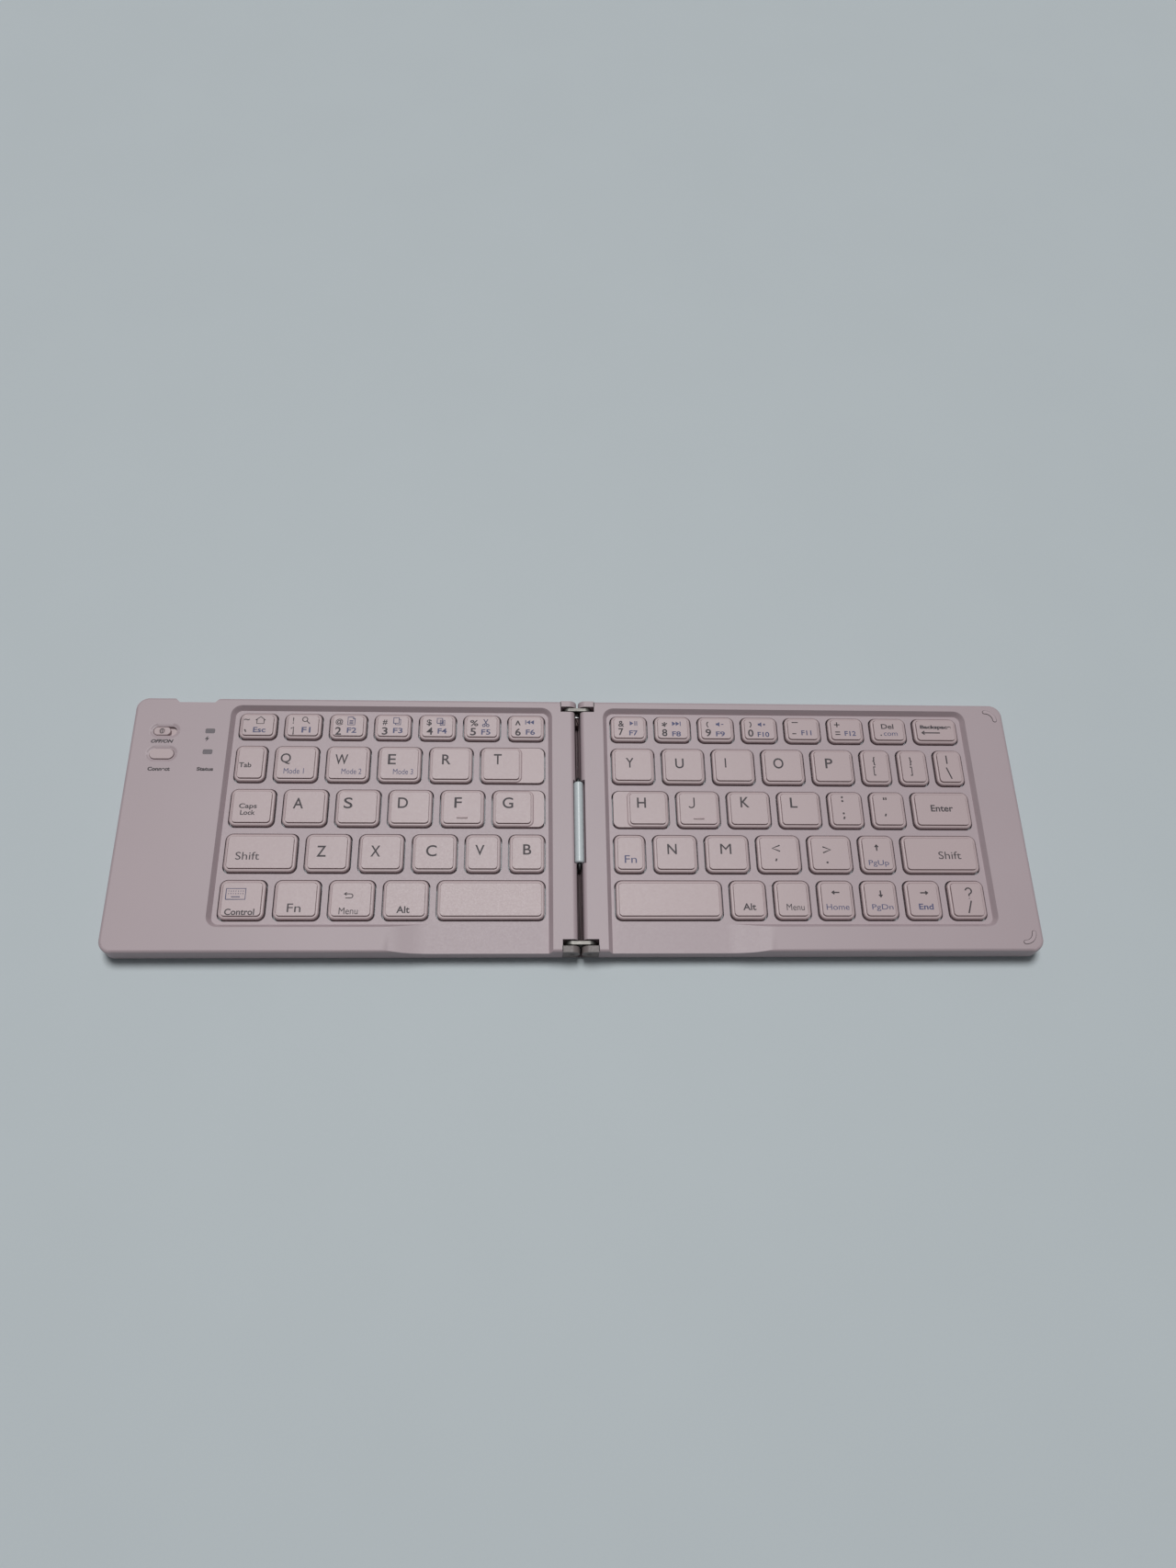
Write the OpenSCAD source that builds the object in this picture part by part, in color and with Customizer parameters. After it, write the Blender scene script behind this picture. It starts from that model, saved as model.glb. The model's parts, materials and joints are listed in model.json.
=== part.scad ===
// Folding keyboard for travel: two halves that close face to face on a double-pivot hinge.
// The origin is on the table, under the middle of the slit between the halves. X runs along
// the length, Y from the front edge to the back edge, and Z up.

/* [Overall] */
// Length of the open keyboard, from end to end
length = 280; // [276:1:340]
// Depth, from the front edge to the back edge
depth = 84.4; // [84:0.2:104]
// Height of the rim above the table
height = 7; // [7:0.1:9]
// Radius of the outer corners, seen from above
corner_r = 4; // [3:0.5:7]
// Radius of the round along the rim's outer edge
edge_r = 1; // [0.5:0.1:1.4]

/* [Shell] */
// Thickness of the outer walls
wall = 1.5; // [1.2:0.1:2]
// Thickness of the deck between the keys
deck_t = 1; // [0.8:0.1:1.2]
// Depth of the well that the keys sit in
well_d = 1.6; // [1.2:0.1:1.8]
// Run of the well's sloping wall
slope_run = 1.25; // [0.8:0.05:2]
// Radius of the well's corners, at the rim
well_r = 3.4; // [2.8:0.1:5]
// Bare deck between the well's wall and the nearest key opening
deck_margin = 0.9; // [0.5:0.1:1.5]
// The same at the well's outer end
end_margin = 1.4; // [0.8:0.1:2]
// Width of the rim behind the number row
back_rim = 2.6; // [2.4:0.1:6]
// Thickness of the bottom cover's floor
floor_t = 1; // [0.8:0.1:1.2]
// Height of the feet below the bottom cover
foot_h = 0.5; // [0.3:0.1:0.8]
// Gap between parts that are fitted together
fit_gap = 0.15; // [0.1:0.05:0.2]

/* [Thumb scoop] */
// Distance from the slit's middle to where the scoop is at its full depth
scoop_full_x = 44; // [38:1:50]
// Distance from the slit's middle to where the scoop starts
scoop_start_x = 59; // [54:1:70]

/* [Keys] */
// Width of a letter key
letter_w = 13.6; // [11.3:0.1:14.5]
// Width of the backspace key
backspace_w = 14.45; // [12:0.05:17]
// Width of a narrow key beside the letters
narrow_w = 11; // [9.8:0.1:12]
// Width of the bracket keys, the tab key and the right function key
bracket_w = 9.6; // [9.4:0.1:11]
// Depth of a key, from front to back
key_d = 12.5; // [11:0.1:12.8]
// Depth of a key in the number row
number_d = 9.15; // [9:0.05:11]
// Gap between neighbouring keys
key_gap = 2.45; // [2:0.05:2.9]
// Clearance between a key and the edge of its opening
key_clear = 0.3; // [0.2:0.05:0.4]
// Radius of a key's corners
key_r = 2; // [1.6:0.1:2.4]
// Distance from the rim's top down to the keys' tops
key_drop = 0.2; // [0.1:0.05:0.4]
// Height of a key cap
cap_h = 2.8; // [2.6:0.05:2.85]
// Thickness of a key cap's skirt and top
cap_wall = 1; // [0.8:0.1:1.2]
// Distance that a key travels
travel = 1.2; // [0.8:0.05:1.25]

/* [Hinge] */
// Width of the slit between the halves
slit = 1.7; // [1.5:0.1:2.4]
// Radius of the round along the slit's edges
slit_r = 1.5; // [1.4:0.1:1.6]
// Distance from the slit's middle to each pivot
pivot_x = 2.6; // [2.6:0.05:3.2]
// Gap between the two rims when the keyboard is closed
closed_gap = 0.4; // [0.4:0.05:0.8]
// Radius of the hinge pins
pin_r = 0.75; // [0.6:0.05:0.9]
// Running clearance between a pin and its link
pin_clear = 0.05; // [0.02:0.01:0.1]
// Gap between a link plate's top and the rim
link_drop = 0.35; // [0.3:0.05:0.6]
// Thickness of a link plate
link_t = 1.1; // [0.8:0.1:1.3]
// Width of the gap that a link plate turns in
link_gap = 1.95; // [1.8:0.05:2.2]
// Thickness of the knuckles at the front and back edges
knuckle_t = 2; // [1.6:0.1:2.4]
// Width of the flat strip beside the slit, from the slit's middle
strip_w = 8.2; // [7.6:0.1:10]

/* [Cable tube] */
// Diameter of the white cable tube in the slit
tube_d = 3; // [2.4:0.1:3.2]
// Length of the cable tube
tube_len = 27.3; // [20:0.1:34]
// Diameter of the wires inside it
wire_d = 0.9; // [0.6:0.1:1.1]

/* [Control bay] */
// Distance from the left end to the middle of the switch and the button
control_x = 10.1; // [9.5:0.1:12]
// Distance from the back edge to the middle of the power switch
switch_y = 11.9; // [11:0.1:13]
// Length of the power switch's slot
slot_len = 7.4; // [6:0.1:8]
// Width of the power switch's slot
slot_w = 3.2; // [2.4:0.1:3.4]
// Distance that the power switch's knob slides
switch_travel = 1.8; // [1.6:0.1:3]
// Distance from the back edge to the middle of the connect button
button_y = 20; // [19:0.1:22]
// Length of the connect button
button_len = 7.4; // [6:0.1:8]
// Width of the connect button
button_w = 3.4; // [2.8:0.1:3.6]
// Distance that the connect button travels
button_travel = 0.28; // [0.2:0.02:0.3]
// Distance from the left end to the middle of the lights
light_x = 24.2; // [22:0.1:25]
// Distance from the back edge to the middle of the charge light
charge_light_y = 12; // [10:0.1:13]
// Distance from the back edge to the middle of the status light
status_light_y = 19.35; // [17:0.1:21]
// Distance from the left end to the middle of the charge port
port_x = 19; // [18.5:0.1:20]
// Depth of the notch in front of the charge port
notch_d = 1.7; // [1:0.1:2]

/* [Hidden] */
$fn = 48;

LEFT = -1;
RIGHT = 1;
NUMBER_ROW = 0;
Q_ROW = 1;
A_ROW = 2;
Z_ROW = 3;
SPACE_ROW = 4;
// A width of REST is what the other keys leave of the row
REST = 0;
// A hair more than the space a cut is made in, so that cutters pass right through
over = 1;

// Colours
case_pink = [0.68, 0.62, 0.64];
key_pink = [0.74, 0.68, 0.69];
cover_pink = [0.62, 0.56, 0.58];
knuckle_grey = [0.5, 0.48, 0.49];
steel = [0.75, 0.75, 0.77];
rubber_grey = [0.35, 0.34, 0.35];
board_green = [0.1, 0.35, 0.2];
tube_white = [0.93, 0.94, 0.97];

// Heights of the stack
half_len = length / 2;
rim_z = height;
deck_z = rim_z - well_d;
deck_under = deck_z - deck_t;
part_z = foot_h + floor_t;
rib_h = 0.5;
plate_t = 0.4;
membrane_t = 0.2;
plate_z = part_z + rib_h;
membrane_z = plate_z + plate_t;
membrane_top = membrane_z + membrane_t;
skin_t = 1.4;
skin_under = rim_z - skin_t;
cap_top = rim_z - key_drop;
cap_bottom = cap_top - cap_h;
cap_ceiling = cap_top - cap_wall - 0.2;

// Widths of the keys in each row, from the slit outwards
key_x0 = strip_w + slope_run + deck_margin + key_clear;
g_w = 16.2;
h_w = 17.5;
enter_w = 18.5;
v_w = 10.9;
slash_w = 11.4;
left_block = g_w + 5 * letter_w + 5 * key_gap;
right_block = h_w + 3 * letter_w + 2 * narrow_w + enter_w + 6 * key_gap;
left_number_w = round((left_block - 6 * key_gap) / 7 * 50) / 50;
right_number_w = round((right_block - backspace_w - 7 * key_gap) / 7 * 50) / 50;
left_rows = [
    concat([for (i = [0:5]) left_number_w], [REST]),
    [REST, letter_w, letter_w, letter_w, letter_w, bracket_w],
    [g_w, letter_w, letter_w, letter_w, letter_w, letter_w],
    [v_w, v_w, letter_w, letter_w, letter_w, REST],
    [REST, letter_w, letter_w, letter_w, letter_w]
];
right_rows = [
    concat([for (i = [0:6]) right_number_w], [REST]),
    concat([for (i = [0:4]) letter_w], [bracket_w, bracket_w, REST]),
    [h_w, letter_w, letter_w, letter_w, narrow_w, narrow_w, enter_w],
    [bracket_w, letter_w, letter_w, letter_w, letter_w, narrow_w, REST],
    [REST, narrow_w, narrow_w, narrow_w, narrow_w, narrow_w, slash_w]
];
// Width of the low shelf that T, G and H have on their side towards the slit
t_shelf = 6.9;
g_shelf = 3.15;
h_shelf = 4.4;

function sum(v, i = 0) = i < len(v) ? v[i] + sum(v, i + 1) : 0;
function block_w(side) = side == LEFT ? left_block : right_block;
function row(side, r) = side == LEFT ? left_rows[r] : right_rows[r];
function key_w(side, r, i) = row(side, r)[i] != REST ? row(side, r)[i]
    : block_w(side) - sum(row(side, r)) - key_gap * (len(row(side, r)) - 1);
// Distance from the slit's middle to the near edge of key i
function key_near(side, r, i) = key_x0
    + (i == 0 ? 0 : sum([for (k = [0:i - 1]) key_w(side, r, k) + key_gap]));
function key_cx(side, r, i) = key_near(side, r, i) + key_w(side, r, i) / 2;
function key_depth(r) = r == NUMBER_ROW ? number_d : key_d;
function shelf(side, r, i) = i > 0 ? 0
    : side == LEFT && r == Q_ROW ? t_shelf
    : side == LEFT && r == A_ROW ? g_shelf
    : side == RIGHT && r == A_ROW ? h_shelf : 0;

// The rows, from the back rim forwards
well_back = depth / 2 - back_rim;
keys_back = well_back - slope_run - deck_margin - key_clear;
row_pitch = key_d + key_gap + 0.05;
function row_y(r) = r == NUMBER_ROW ? keys_back - number_d / 2
    : keys_back - number_d - key_gap - key_d / 2 - row_pitch * (r - 1);
keys_front = row_y(SPACE_ROW) - key_d / 2;
well_front = keys_front - key_clear - deck_margin - slope_run;
function well_end(side) = key_x0 + block_w(side) + key_clear + end_margin + slope_run;

// The hinge
slit_x = slit / 2;
pivot_z = rim_z - pivot_x + closed_gap / 2;
tongue_t = 0.7;
tongue_top = part_z + 0.05 + tongue_t;
knuckle_r = min(pivot_x - 0.3, pivot_z - part_z - 0.1);
knuckle_end = pivot_x + knuckle_r + 0.45;
knuckle_gap = 0.05;
// A link clears the rim above it and the bracket's tongue below it
link_r = min(rim_z - pivot_z - link_drop, pivot_z - tongue_top - 0.1);
pocket_y = depth / 2 - knuckle_t - link_gap;
link_y = pocket_y + link_gap / 2;
pin_socket = 0.9;
tongue_len = 8;

// The cable tube's trough. The right half swings past the tube, so its trough is wider.
tube_r = tube_d / 2;
tube_z = rim_z - key_drop - tube_r;
tube_swing = 0.35;
slit_wall = 3.6;
// The wires bend down out of the tube, drop along the slit and turn into a half
wire_out = tube_len / 2 + 0.6;
wire_bend = 1.2;
wire_turn = 0.6;
wire_y = -wire_out - wire_bend;
wire_z = part_z + 1.2;

// The control bay
bay_x0 = well_end(LEFT) + 1.8;
bay_x1 = half_len - wall;
control_cx = half_len - control_x;
light_cx = half_len - light_x;
port_cx = half_len - port_x;
switch_cy = depth / 2 - switch_y;
button_cy = depth / 2 - button_y;
charge_cy = depth / 2 - charge_light_y;
status_cy = depth / 2 - status_light_y;
// The dish round the slot and the button
dish_d = 0.5;
dish_run = 1.2;
window = [2.9, 1.6];
window_r = 0.4;
port_w = 8.94;
port_h = 3.26;
port_len = 7.3;
port_wall = 0.3;
port_z = 3.6;
notch_w = 11.1;
notch_slant = 1.6;
board_z = 3;
board_t = 0.8;
board_top = board_z + board_t;
board_y0 = depth / 2 - 36.2;
board_y1 = depth / 2 - 3.6;
magnet_r = 2.5;
magnet_h = 1.6;
magnet_x = half_len - 5.6;
magnet_pitch = 6.2;
magnet_y = -depth / 2 + 4.6;

// Points of a quarter round that takes r off an edge: [inset, height below the top]
function round_over(r, n = 4) = [for (i = [0:n]) [r - r * cos(90 * i / n), r * sin(90 * i / n) - r]];

// A slab that is a rectangle seen from above, with round corners. profile is its side:
// [inset from the outline, z] from the bottom up.
module profiled_slab(size, r, profile) {
    flat_x = size[0] - 2 * r;
    flat_y = size[1] - 2 * r;
    z0 = profile[0][1];
    z1 = profile[len(profile) - 1][1];
    section = concat([[0, z0]], [for (p = profile) [r - p[0], p[1]]], [[0, z1]]);
    translate([-flat_x / 2, -flat_y / 2, z0]) cube([flat_x, flat_y, z1 - z0]);
    for (turn = [0, 180]) {
        rotate([0, 0, turn]) translate([flat_x / 2, flat_y / 2, 0]) rotate([90, 0, 0])
            linear_extrude(flat_y) polygon(section);
        rotate([0, 0, turn + 90]) translate([flat_y / 2, flat_x / 2, 0]) rotate([90, 0, 0])
            linear_extrude(flat_x) polygon(section);
    }
    for (corner = [[1, 1, 0], [-1, 1, 90], [-1, -1, 180], [1, -1, 270]])
        translate([corner[0] * flat_x / 2, corner[1] * flat_y / 2, 0])
            rotate([0, 0, corner[2]]) rotate_extrude(angle = 90) polygon(section);
}

// A rectangle with round corners
module rounded(w, d, r) {
    square([w - 2 * r, d], center = true);
    square([w, d - 2 * r], center = true);
    for (sx = [-1, 1], sy = [-1, 1])
        translate([sx * (w / 2 - r), sy * (d / 2 - r)]) circle(r);
}

// A bar with full round ends
module pill(w, d) {
    square([w - d, d], center = true);
    for (s = [-1, 1]) translate([s * (w - d) / 2, 0]) circle(d / 2);
}

// Halves are drawn to the right of the slit, and the left one is the mirror image
module on_side(side) {
    if (side == LEFT) mirror([1, 0, 0]) children();
    else children();
}

// The front hinge and its mirror image at the back
module both_ends() {
    children();
    mirror([0, 1, 0]) children();
}

// A box from corner a to corner b
module block(a, b) {
    translate(a) cube(b - a);
}

// One half's outline as a slab that stops at the slit
module half_slab(profile) {
    inner_end = -2 * corner_r;
    difference() {
        translate([(half_len + inner_end) / 2, 0, 0])
            profiled_slab([half_len - inner_end, depth], corner_r, profile);
        block([inner_end - over, -depth, -over], [slit_x, depth, 2 * height]);
    }
}

// ---- Top case ----

module well_cut(side) {
    x0 = strip_w;
    x1 = well_end(side);
    translate([(x0 + x1) / 2, (well_back + well_front) / 2, 0])
        profiled_slab([x1 - x0, well_back - well_front], well_r,
            [[slope_run, deck_z], [0, rim_z], [0, rim_z + over]]);
}

// Height of the scoop's ramp where it is a share t of the way up
function ramp_z(t) = deck_z + well_d * (1 - cos(180 * t)) / 2;

module scoop_cut() {
    steps = 10;
    ramp = [for (i = [0:steps])
        [scoop_full_x + (scoop_start_x - scoop_full_x) * i / steps, ramp_z(i / steps)]];
    outline = concat([[strip_w, rim_z], [strip_w + slope_run, deck_z]], ramp,
        [[scoop_start_x, rim_z + over], [strip_w, rim_z + over]]);
    translate([0, keys_front + key_r, 0]) rotate([90, 0, 0])
        linear_extrude(keys_front + key_r + depth / 2 + over) polygon(outline);
}

module slit_edge_cut() {
    curve = [for (p = round_over(slit_r)) [slit_x + p[0], rim_z + p[1]]];
    outline = concat(curve, [[slit_x + slit_r, rim_z + over],
        [slit_x - over, rim_z + over], [slit_x - over, rim_z - slit_r]]);
    translate([0, depth / 2 + over, 0]) rotate([90, 0, 0])
        linear_extrude(depth + 2 * over) polygon(outline);
}

// The link's pocket and the knuckle's seat at one end, with the slot for the bracket's tongue
module hinge_cut() {
    block([0, -depth / 2 - over, 0], [knuckle_end + knuckle_gap, -pocket_y, rim_z + over]);
    block([0, -pocket_y - over, 0],
        [knuckle_end + knuckle_gap, -pocket_y + tongue_len + fit_gap, tongue_top + 0.25]);
    translate([pivot_x, -pocket_y + pin_socket, pivot_z]) rotate([90, 0, 0])
        cylinder(r = pin_r + 0.01, h = pin_socket + over);
}

module tube_cut(side) {
    r = side == LEFT ? tube_r + fit_gap : tube_r + fit_gap + tube_swing;
    long = tube_len + 2 * fit_gap + 0.4;
    translate([0, long / 2, tube_z]) rotate([90, 0, 0]) cylinder(r = r, h = long);
    block([0, -long / 2, tube_z], [r, long / 2, rim_z + over]);
    // the wires' way into the half
    translate([0, -side * wire_y, wire_z]) rotate([0, 90, 0])
        cylinder(d = wire_d + 2 * fit_gap, h = slit_wall + over);
}

// The hollow under the deck
module case_room(side) {
    x0 = knuckle_end + wall;
    x1 = half_len - wall;
    inner_d = depth - 2 * wall;
    r = corner_r - wall;
    difference() {
        translate([(x0 + x1) / 2, 0, 0]) linear_extrude(deck_under)
            rounded(x1 - x0, inner_d, r);
        if (side == LEFT) port_wall_block();
    }
    block([slit_wall, -pocket_y + wall, 0], [x0 + r, pocket_y - wall, deck_under]);
}

module key_openings(side) {
    for (r = [NUMBER_ROW:SPACE_ROW], i = [0:len(row(side, r)) - 1])
        translate([key_cx(side, r, i), row_y(r), deck_under - over])
            linear_extrude(deck_t + 2 * over)
                rounded(key_w(side, r, i) + 2 * key_clear, key_depth(r) + 2 * key_clear,
                    key_r + key_clear);
}

module top_case(side) {
    shell = concat([[0, part_z]], [for (p = round_over(edge_r)) [p[0], rim_z + p[1]]]);
    difference() {
        half_slab(shell);
        well_cut(side);
        scoop_cut();
        slit_edge_cut();
        both_ends() hinge_cut();
        tube_cut(side);
        case_room(side);
        key_openings(side);
        children();
    }
}

// The wall that stays round the charge port's mouth
module port_wall_block() {
    block([port_cx - notch_w / 2 - notch_slant - wall, board_y1, 0],
        [port_cx + notch_w / 2 + notch_slant + wall, depth / 2, height]);
}

// The notch in the back edge, wider at its mouth
module notch_cut() {
    outline = [[-notch_w / 2 - notch_slant, over], [-notch_w / 2 - notch_slant, 0],
        [-notch_w / 2, -notch_d], [notch_w / 2, -notch_d],
        [notch_w / 2 + notch_slant, 0], [notch_w / 2 + notch_slant, over]];
    translate([port_cx, depth / 2, -over]) linear_extrude(height + 2 * over) polygon(outline);
}

// A sloping dish round an opening w by d with round ends
module dish(w, d) {
    flat = 0.1;
    profiled_slab([w + 2 * dish_run, d + 2 * dish_run], (d - flat) / 2 + dish_run,
        [[dish_run - 0.05, rim_z - dish_d], [0, rim_z], [0, rim_z + over]]);
}

module bay_cuts() {
    room_w = bay_x1 - bay_x0;
    difference() {
        translate([(bay_x0 + bay_x1) / 2, 0, part_z]) linear_extrude(skin_under - part_z)
            rounded(room_w, depth - 2 * wall, corner_r - wall);
        port_wall_block();
    }
    notch_cut();
    translate([port_cx, depth / 2, port_z]) rotate([90, 0, 0])
        linear_extrude(depth / 2 - board_y1 + over)
            pill(port_w + 2 * fit_gap, port_h + 2 * fit_gap);
    translate([control_cx, switch_cy, skin_under - over])
        linear_extrude(skin_t + 2 * over) pill(slot_len, slot_w);
    translate([control_cx, switch_cy, 0]) dish(slot_len, slot_w);
    translate([control_cx, button_cy, skin_under - over])
        linear_extrude(skin_t + 2 * over)
            pill(button_len + 2 * fit_gap, button_w + 2 * fit_gap);
    translate([control_cx, button_cy, 0])
        dish(button_len + 2 * fit_gap, button_w + 2 * fit_gap);
    for (y = [charge_cy, status_cy])
        translate([light_cx, y, skin_under - over]) linear_extrude(skin_t + 2 * over)
            rounded(window[0] + 0.06, window[1] + 0.06, window_r + 0.03);
}

module left_top_case() {
    color(case_pink) on_side(LEFT) top_case(LEFT) bay_cuts();
}

module right_top_case() {
    color(case_pink) on_side(RIGHT) top_case(RIGHT) {
        for (i = [0, 1])
            translate([magnet_x - i * magnet_pitch, magnet_y, deck_under - over])
                cylinder(r = magnet_r + 0.05, h = skin_under - deck_under + over);
        both_ends() translate([0, 0, rim_z - bumper_seat]) linear_extrude(over)
            bumper_outline(0.05);
    }
}

// ---- Bottom cover ----

module bottom_cover(side) {
    lip_gap = wall + fit_gap;
    lip_t = 0.9;
    lip_h = 1;
    x0 = knuckle_end + wall + fit_gap;
    x1 = half_len - lip_gap;
    plate_x0 = key_x0 - 1;
    plate_x1 = key_x0 + block_w(side) + 1;
    difference() {
        union() {
            half_slab([[0.7, foot_h], [0.2, foot_h + 0.4], [0, part_z]]);
            // snap lip inside the top case's walls
            translate([(x0 + x1) / 2, 0, part_z]) linear_extrude(lip_h) difference() {
                rounded(x1 - x0, depth - 2 * lip_gap, corner_r - lip_gap);
                rounded(x1 - x0 - 2 * lip_t, depth - 2 * lip_gap - 2 * lip_t,
                    corner_r - lip_gap - lip_t);
            }
            // ribs under the key plate, between the rows
            for (r = [NUMBER_ROW:A_ROW + 1])
                translate([plate_x0, row_y(r) - key_depth(r) / 2 - key_gap / 2 - 0.5, part_z])
                    cube([plate_x1 - plate_x0, 1, rib_h]);
            if (side == LEFT)
                for (p = board_posts) translate([p[0], p[1], part_z])
                    cylinder(r = 1.5, h = board_z - part_z);
        }
        if (side == LEFT) {
            notch_cut();
            difference() {
                port_wall_clear();
                block([0, 0, 0], [length, depth, part_z]);
            }
        }
    }
    // pegs that locate the key plate
    for (p = plate_pegs(side)) translate([p[0], p[1], part_z])
        cylinder(r = peg_r, h = membrane_z - part_z);
}

// The space that the top case's wall round the charge port needs in the lip
module port_wall_clear() {
    block([port_cx - notch_w / 2 - notch_slant - wall - fit_gap, board_y1 - fit_gap, 0],
        [port_cx + notch_w / 2 + notch_slant + wall + fit_gap, depth / 2, height]);
}

board_posts = [
    [bay_x0 + 2.4, board_y0 + 2.4], [bay_x1 - 3.4, board_y0 + 2.4],
    [bay_x0 + 2.4, board_y1 - 8], [bay_x1 - 3.4, board_y1 - 9]
];
peg_r = 0.8;
function plate_pegs(side) = [for (f = [0.08, 0.5, 0.92], r = [NUMBER_ROW, A_ROW])
    [key_x0 + block_w(side) * f, row_y(r) - key_depth(r) / 2 - key_gap / 2]];

module left_bottom_cover() {
    color(cover_pink) on_side(LEFT) bottom_cover(LEFT);
}

module right_bottom_cover() {
    color(cover_pink) on_side(RIGHT) bottom_cover(RIGHT);
}

// ---- Feet, bumpers and magnets ----

foot_size = [14, 4];
foot_in = 11;
module feet() {
    for (x = [strip_w + foot_in, half_len - foot_in], y = [-1, 1])
        translate([x, y * (depth / 2 - foot_in / 2 - 1), 0]) linear_extrude(foot_h)
            pill(foot_size[0], foot_size[1]);
}

module left_feet() {
    color(rubber_grey) on_side(LEFT) feet();
}

module right_feet() {
    color(rubber_grey) on_side(RIGHT) feet();
}

bumper_in = 5.8;
bumper_r = 3;
bumper_w = 1.1;
bumper_seat = 0.4;
bumper_proud = 0.2;

// An arc round the outer front corner
module bumper_outline(extra) {
    half_w = bumper_w / 2 + extra;
    translate([half_len - bumper_in, -depth / 2 + bumper_in]) {
        intersection() {
            difference() {
                circle(bumper_r + half_w);
                circle(bumper_r - half_w);
            }
            polygon([[0, 0], [0, -2 * bumper_in], [2 * bumper_in, -2 * bumper_in], [2 * bumper_in, 0]]);
        }
        for (end = [[bumper_r, 0], [0, -bumper_r]]) translate(end) circle(half_w);
    }
}

module right_corner_bumpers() {
    color(key_pink) on_side(RIGHT) both_ends()
        translate([0, 0, rim_z - bumper_seat]) linear_extrude(bumper_seat + bumper_proud)
            bumper_outline(0);
}

module magnets() {
    for (i = [0, 1])
        translate([magnet_x - i * magnet_pitch, magnet_y, skin_under - magnet_h])
            cylinder(r = magnet_r, h = magnet_h);
}

module left_magnets() {
    color(steel) on_side(LEFT) magnets();
}

module right_magnets() {
    color(steel) on_side(RIGHT) magnets();
}

// ---- Key plate, domes and scissors ----

module plate_outline(side) {
    translate([key_x0 + block_w(side) / 2, (keys_back + keys_front) / 2])
        rounded(block_w(side) + 2, keys_back - keys_front + 2, key_r);
}

module key_plate(side) {
    translate([0, 0, plate_z]) linear_extrude(plate_t) difference() {
        plate_outline(side);
        for (p = plate_pegs(side)) translate(p) circle(peg_r + 0.05);
    }
}

module left_key_plate() {
    color(steel) on_side(LEFT) key_plate(LEFT);
}

module right_key_plate() {
    color(steel) on_side(RIGHT) key_plate(RIGHT);
}

dome_top_r = 1.5;
stem_z = 4.3;
stem_r = 1.1;
scissor_bar = 0.6;
scissor_t = 0.45;
// Widths of a key's two scissor frames, and the dome that the inner one leaves room for
function outer_frame(w) = min(8.4, w - 2 * cap_wall - 0.4);
function inner_frame(w) = outer_frame(w) - 2 * scissor_bar - 0.3;
function dome_r(w) = min(2.2, inner_frame(w) / 2 - scissor_bar - 0.2);

// The membrane with one rubber dome under each key
module dome_sheet(side) {
    tail_w = 9;
    translate([0, 0, membrane_z]) linear_extrude(membrane_t) plate_outline(side);
    for (r = [NUMBER_ROW:SPACE_ROW], i = [0:len(row(side, r)) - 1])
        translate([key_cx(side, r, i), row_y(r), membrane_top])
            cylinder(r1 = dome_r(key_w(side, r, i)), r2 = dome_top_r,
                h = stem_z - membrane_top - 0.05);
    if (side == LEFT)
        block([key_x0 + block_w(side), board_y0 + 6, membrane_z],
            [bay_x0 + 3, board_y0 + 6 + tail_w, membrane_top]);
}

module left_dome_sheet() {
    color([0.85, 0.86, 0.88]) on_side(LEFT) dome_sheet(LEFT);
}

module right_dome_sheet() {
    color([0.85, 0.86, 0.88]) on_side(RIGHT) dome_sheet(RIGHT);
}

// A flat frame tilted about X, one arm of a scissor
module scissor_frame(w, d, tilt) {
    rotate([tilt, 0, 0]) difference() {
        cube([w, d, scissor_t], center = true);
        cube([w - 2 * scissor_bar, d - 2 * scissor_bar, over], center = true);
    }
}

module scissors(side) {
    mid_z = (membrane_top + cap_ceiling) / 2;
    rise = cap_ceiling - membrane_top - scissor_t - 0.3;
    for (r = [NUMBER_ROW:SPACE_ROW], i = [0:len(row(side, r)) - 1]) {
        w = key_w(side, r, i);
        arm = key_depth(r) - 2 * cap_wall - 0.6;
        tilt = asin(rise / arm);
        translate([key_cx(side, r, i), row_y(r), mid_z]) {
            scissor_frame(outer_frame(w), arm, tilt);
            scissor_frame(inner_frame(w), arm, -tilt);
        }
    }
}

module left_scissor_frames() {
    color("white") on_side(LEFT) scissors(LEFT);
}

module right_scissor_frames() {
    color("white") on_side(RIGHT) scissors(RIGHT);
}

// ---- Key caps ----

// How the cap narrows towards its top: a skirt, a shoulder and a raised face
shoulder = 0.75;
shoulder_in = 0.3;
face_rise = 0.35;
face_in = 0.95;

module cap_body(w, d, low) {
    skirt = [[0, cap_bottom], [0, cap_top - shoulder], [shoulder_in, cap_top - shoulder + 0.3]];
    if (low == 0)
        profiled_slab([w, d], key_r, concat(skirt,
            [[face_in - 0.2, cap_top - face_rise], [face_in, cap_top]]));
    else {
        profiled_slab([w, d], key_r, concat(skirt, [[face_in - 0.2, cap_top - face_rise]]));
        translate([low / 2, 0, 0])
            profiled_slab([w - low - 2 * (face_in - 0.2), d - 2 * (face_in - 0.2)], key_r - face_in + 0.2,
                [[0, cap_top - face_rise - 0.1], [0, cap_top - face_rise], [0.2, cap_top]]);
    }
}

module key_cap(w, d, low) {
    difference() {
        cap_body(w, d, low);
        translate([cap_wall - w / 2, cap_wall - d / 2, cap_bottom - over])
            cube([w - 2 * cap_wall, d - 2 * cap_wall, cap_ceiling - cap_bottom + over]);
    }
    translate([0, 0, stem_z]) cylinder(r = stem_r, h = cap_ceiling - stem_z + 0.1);
}

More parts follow.
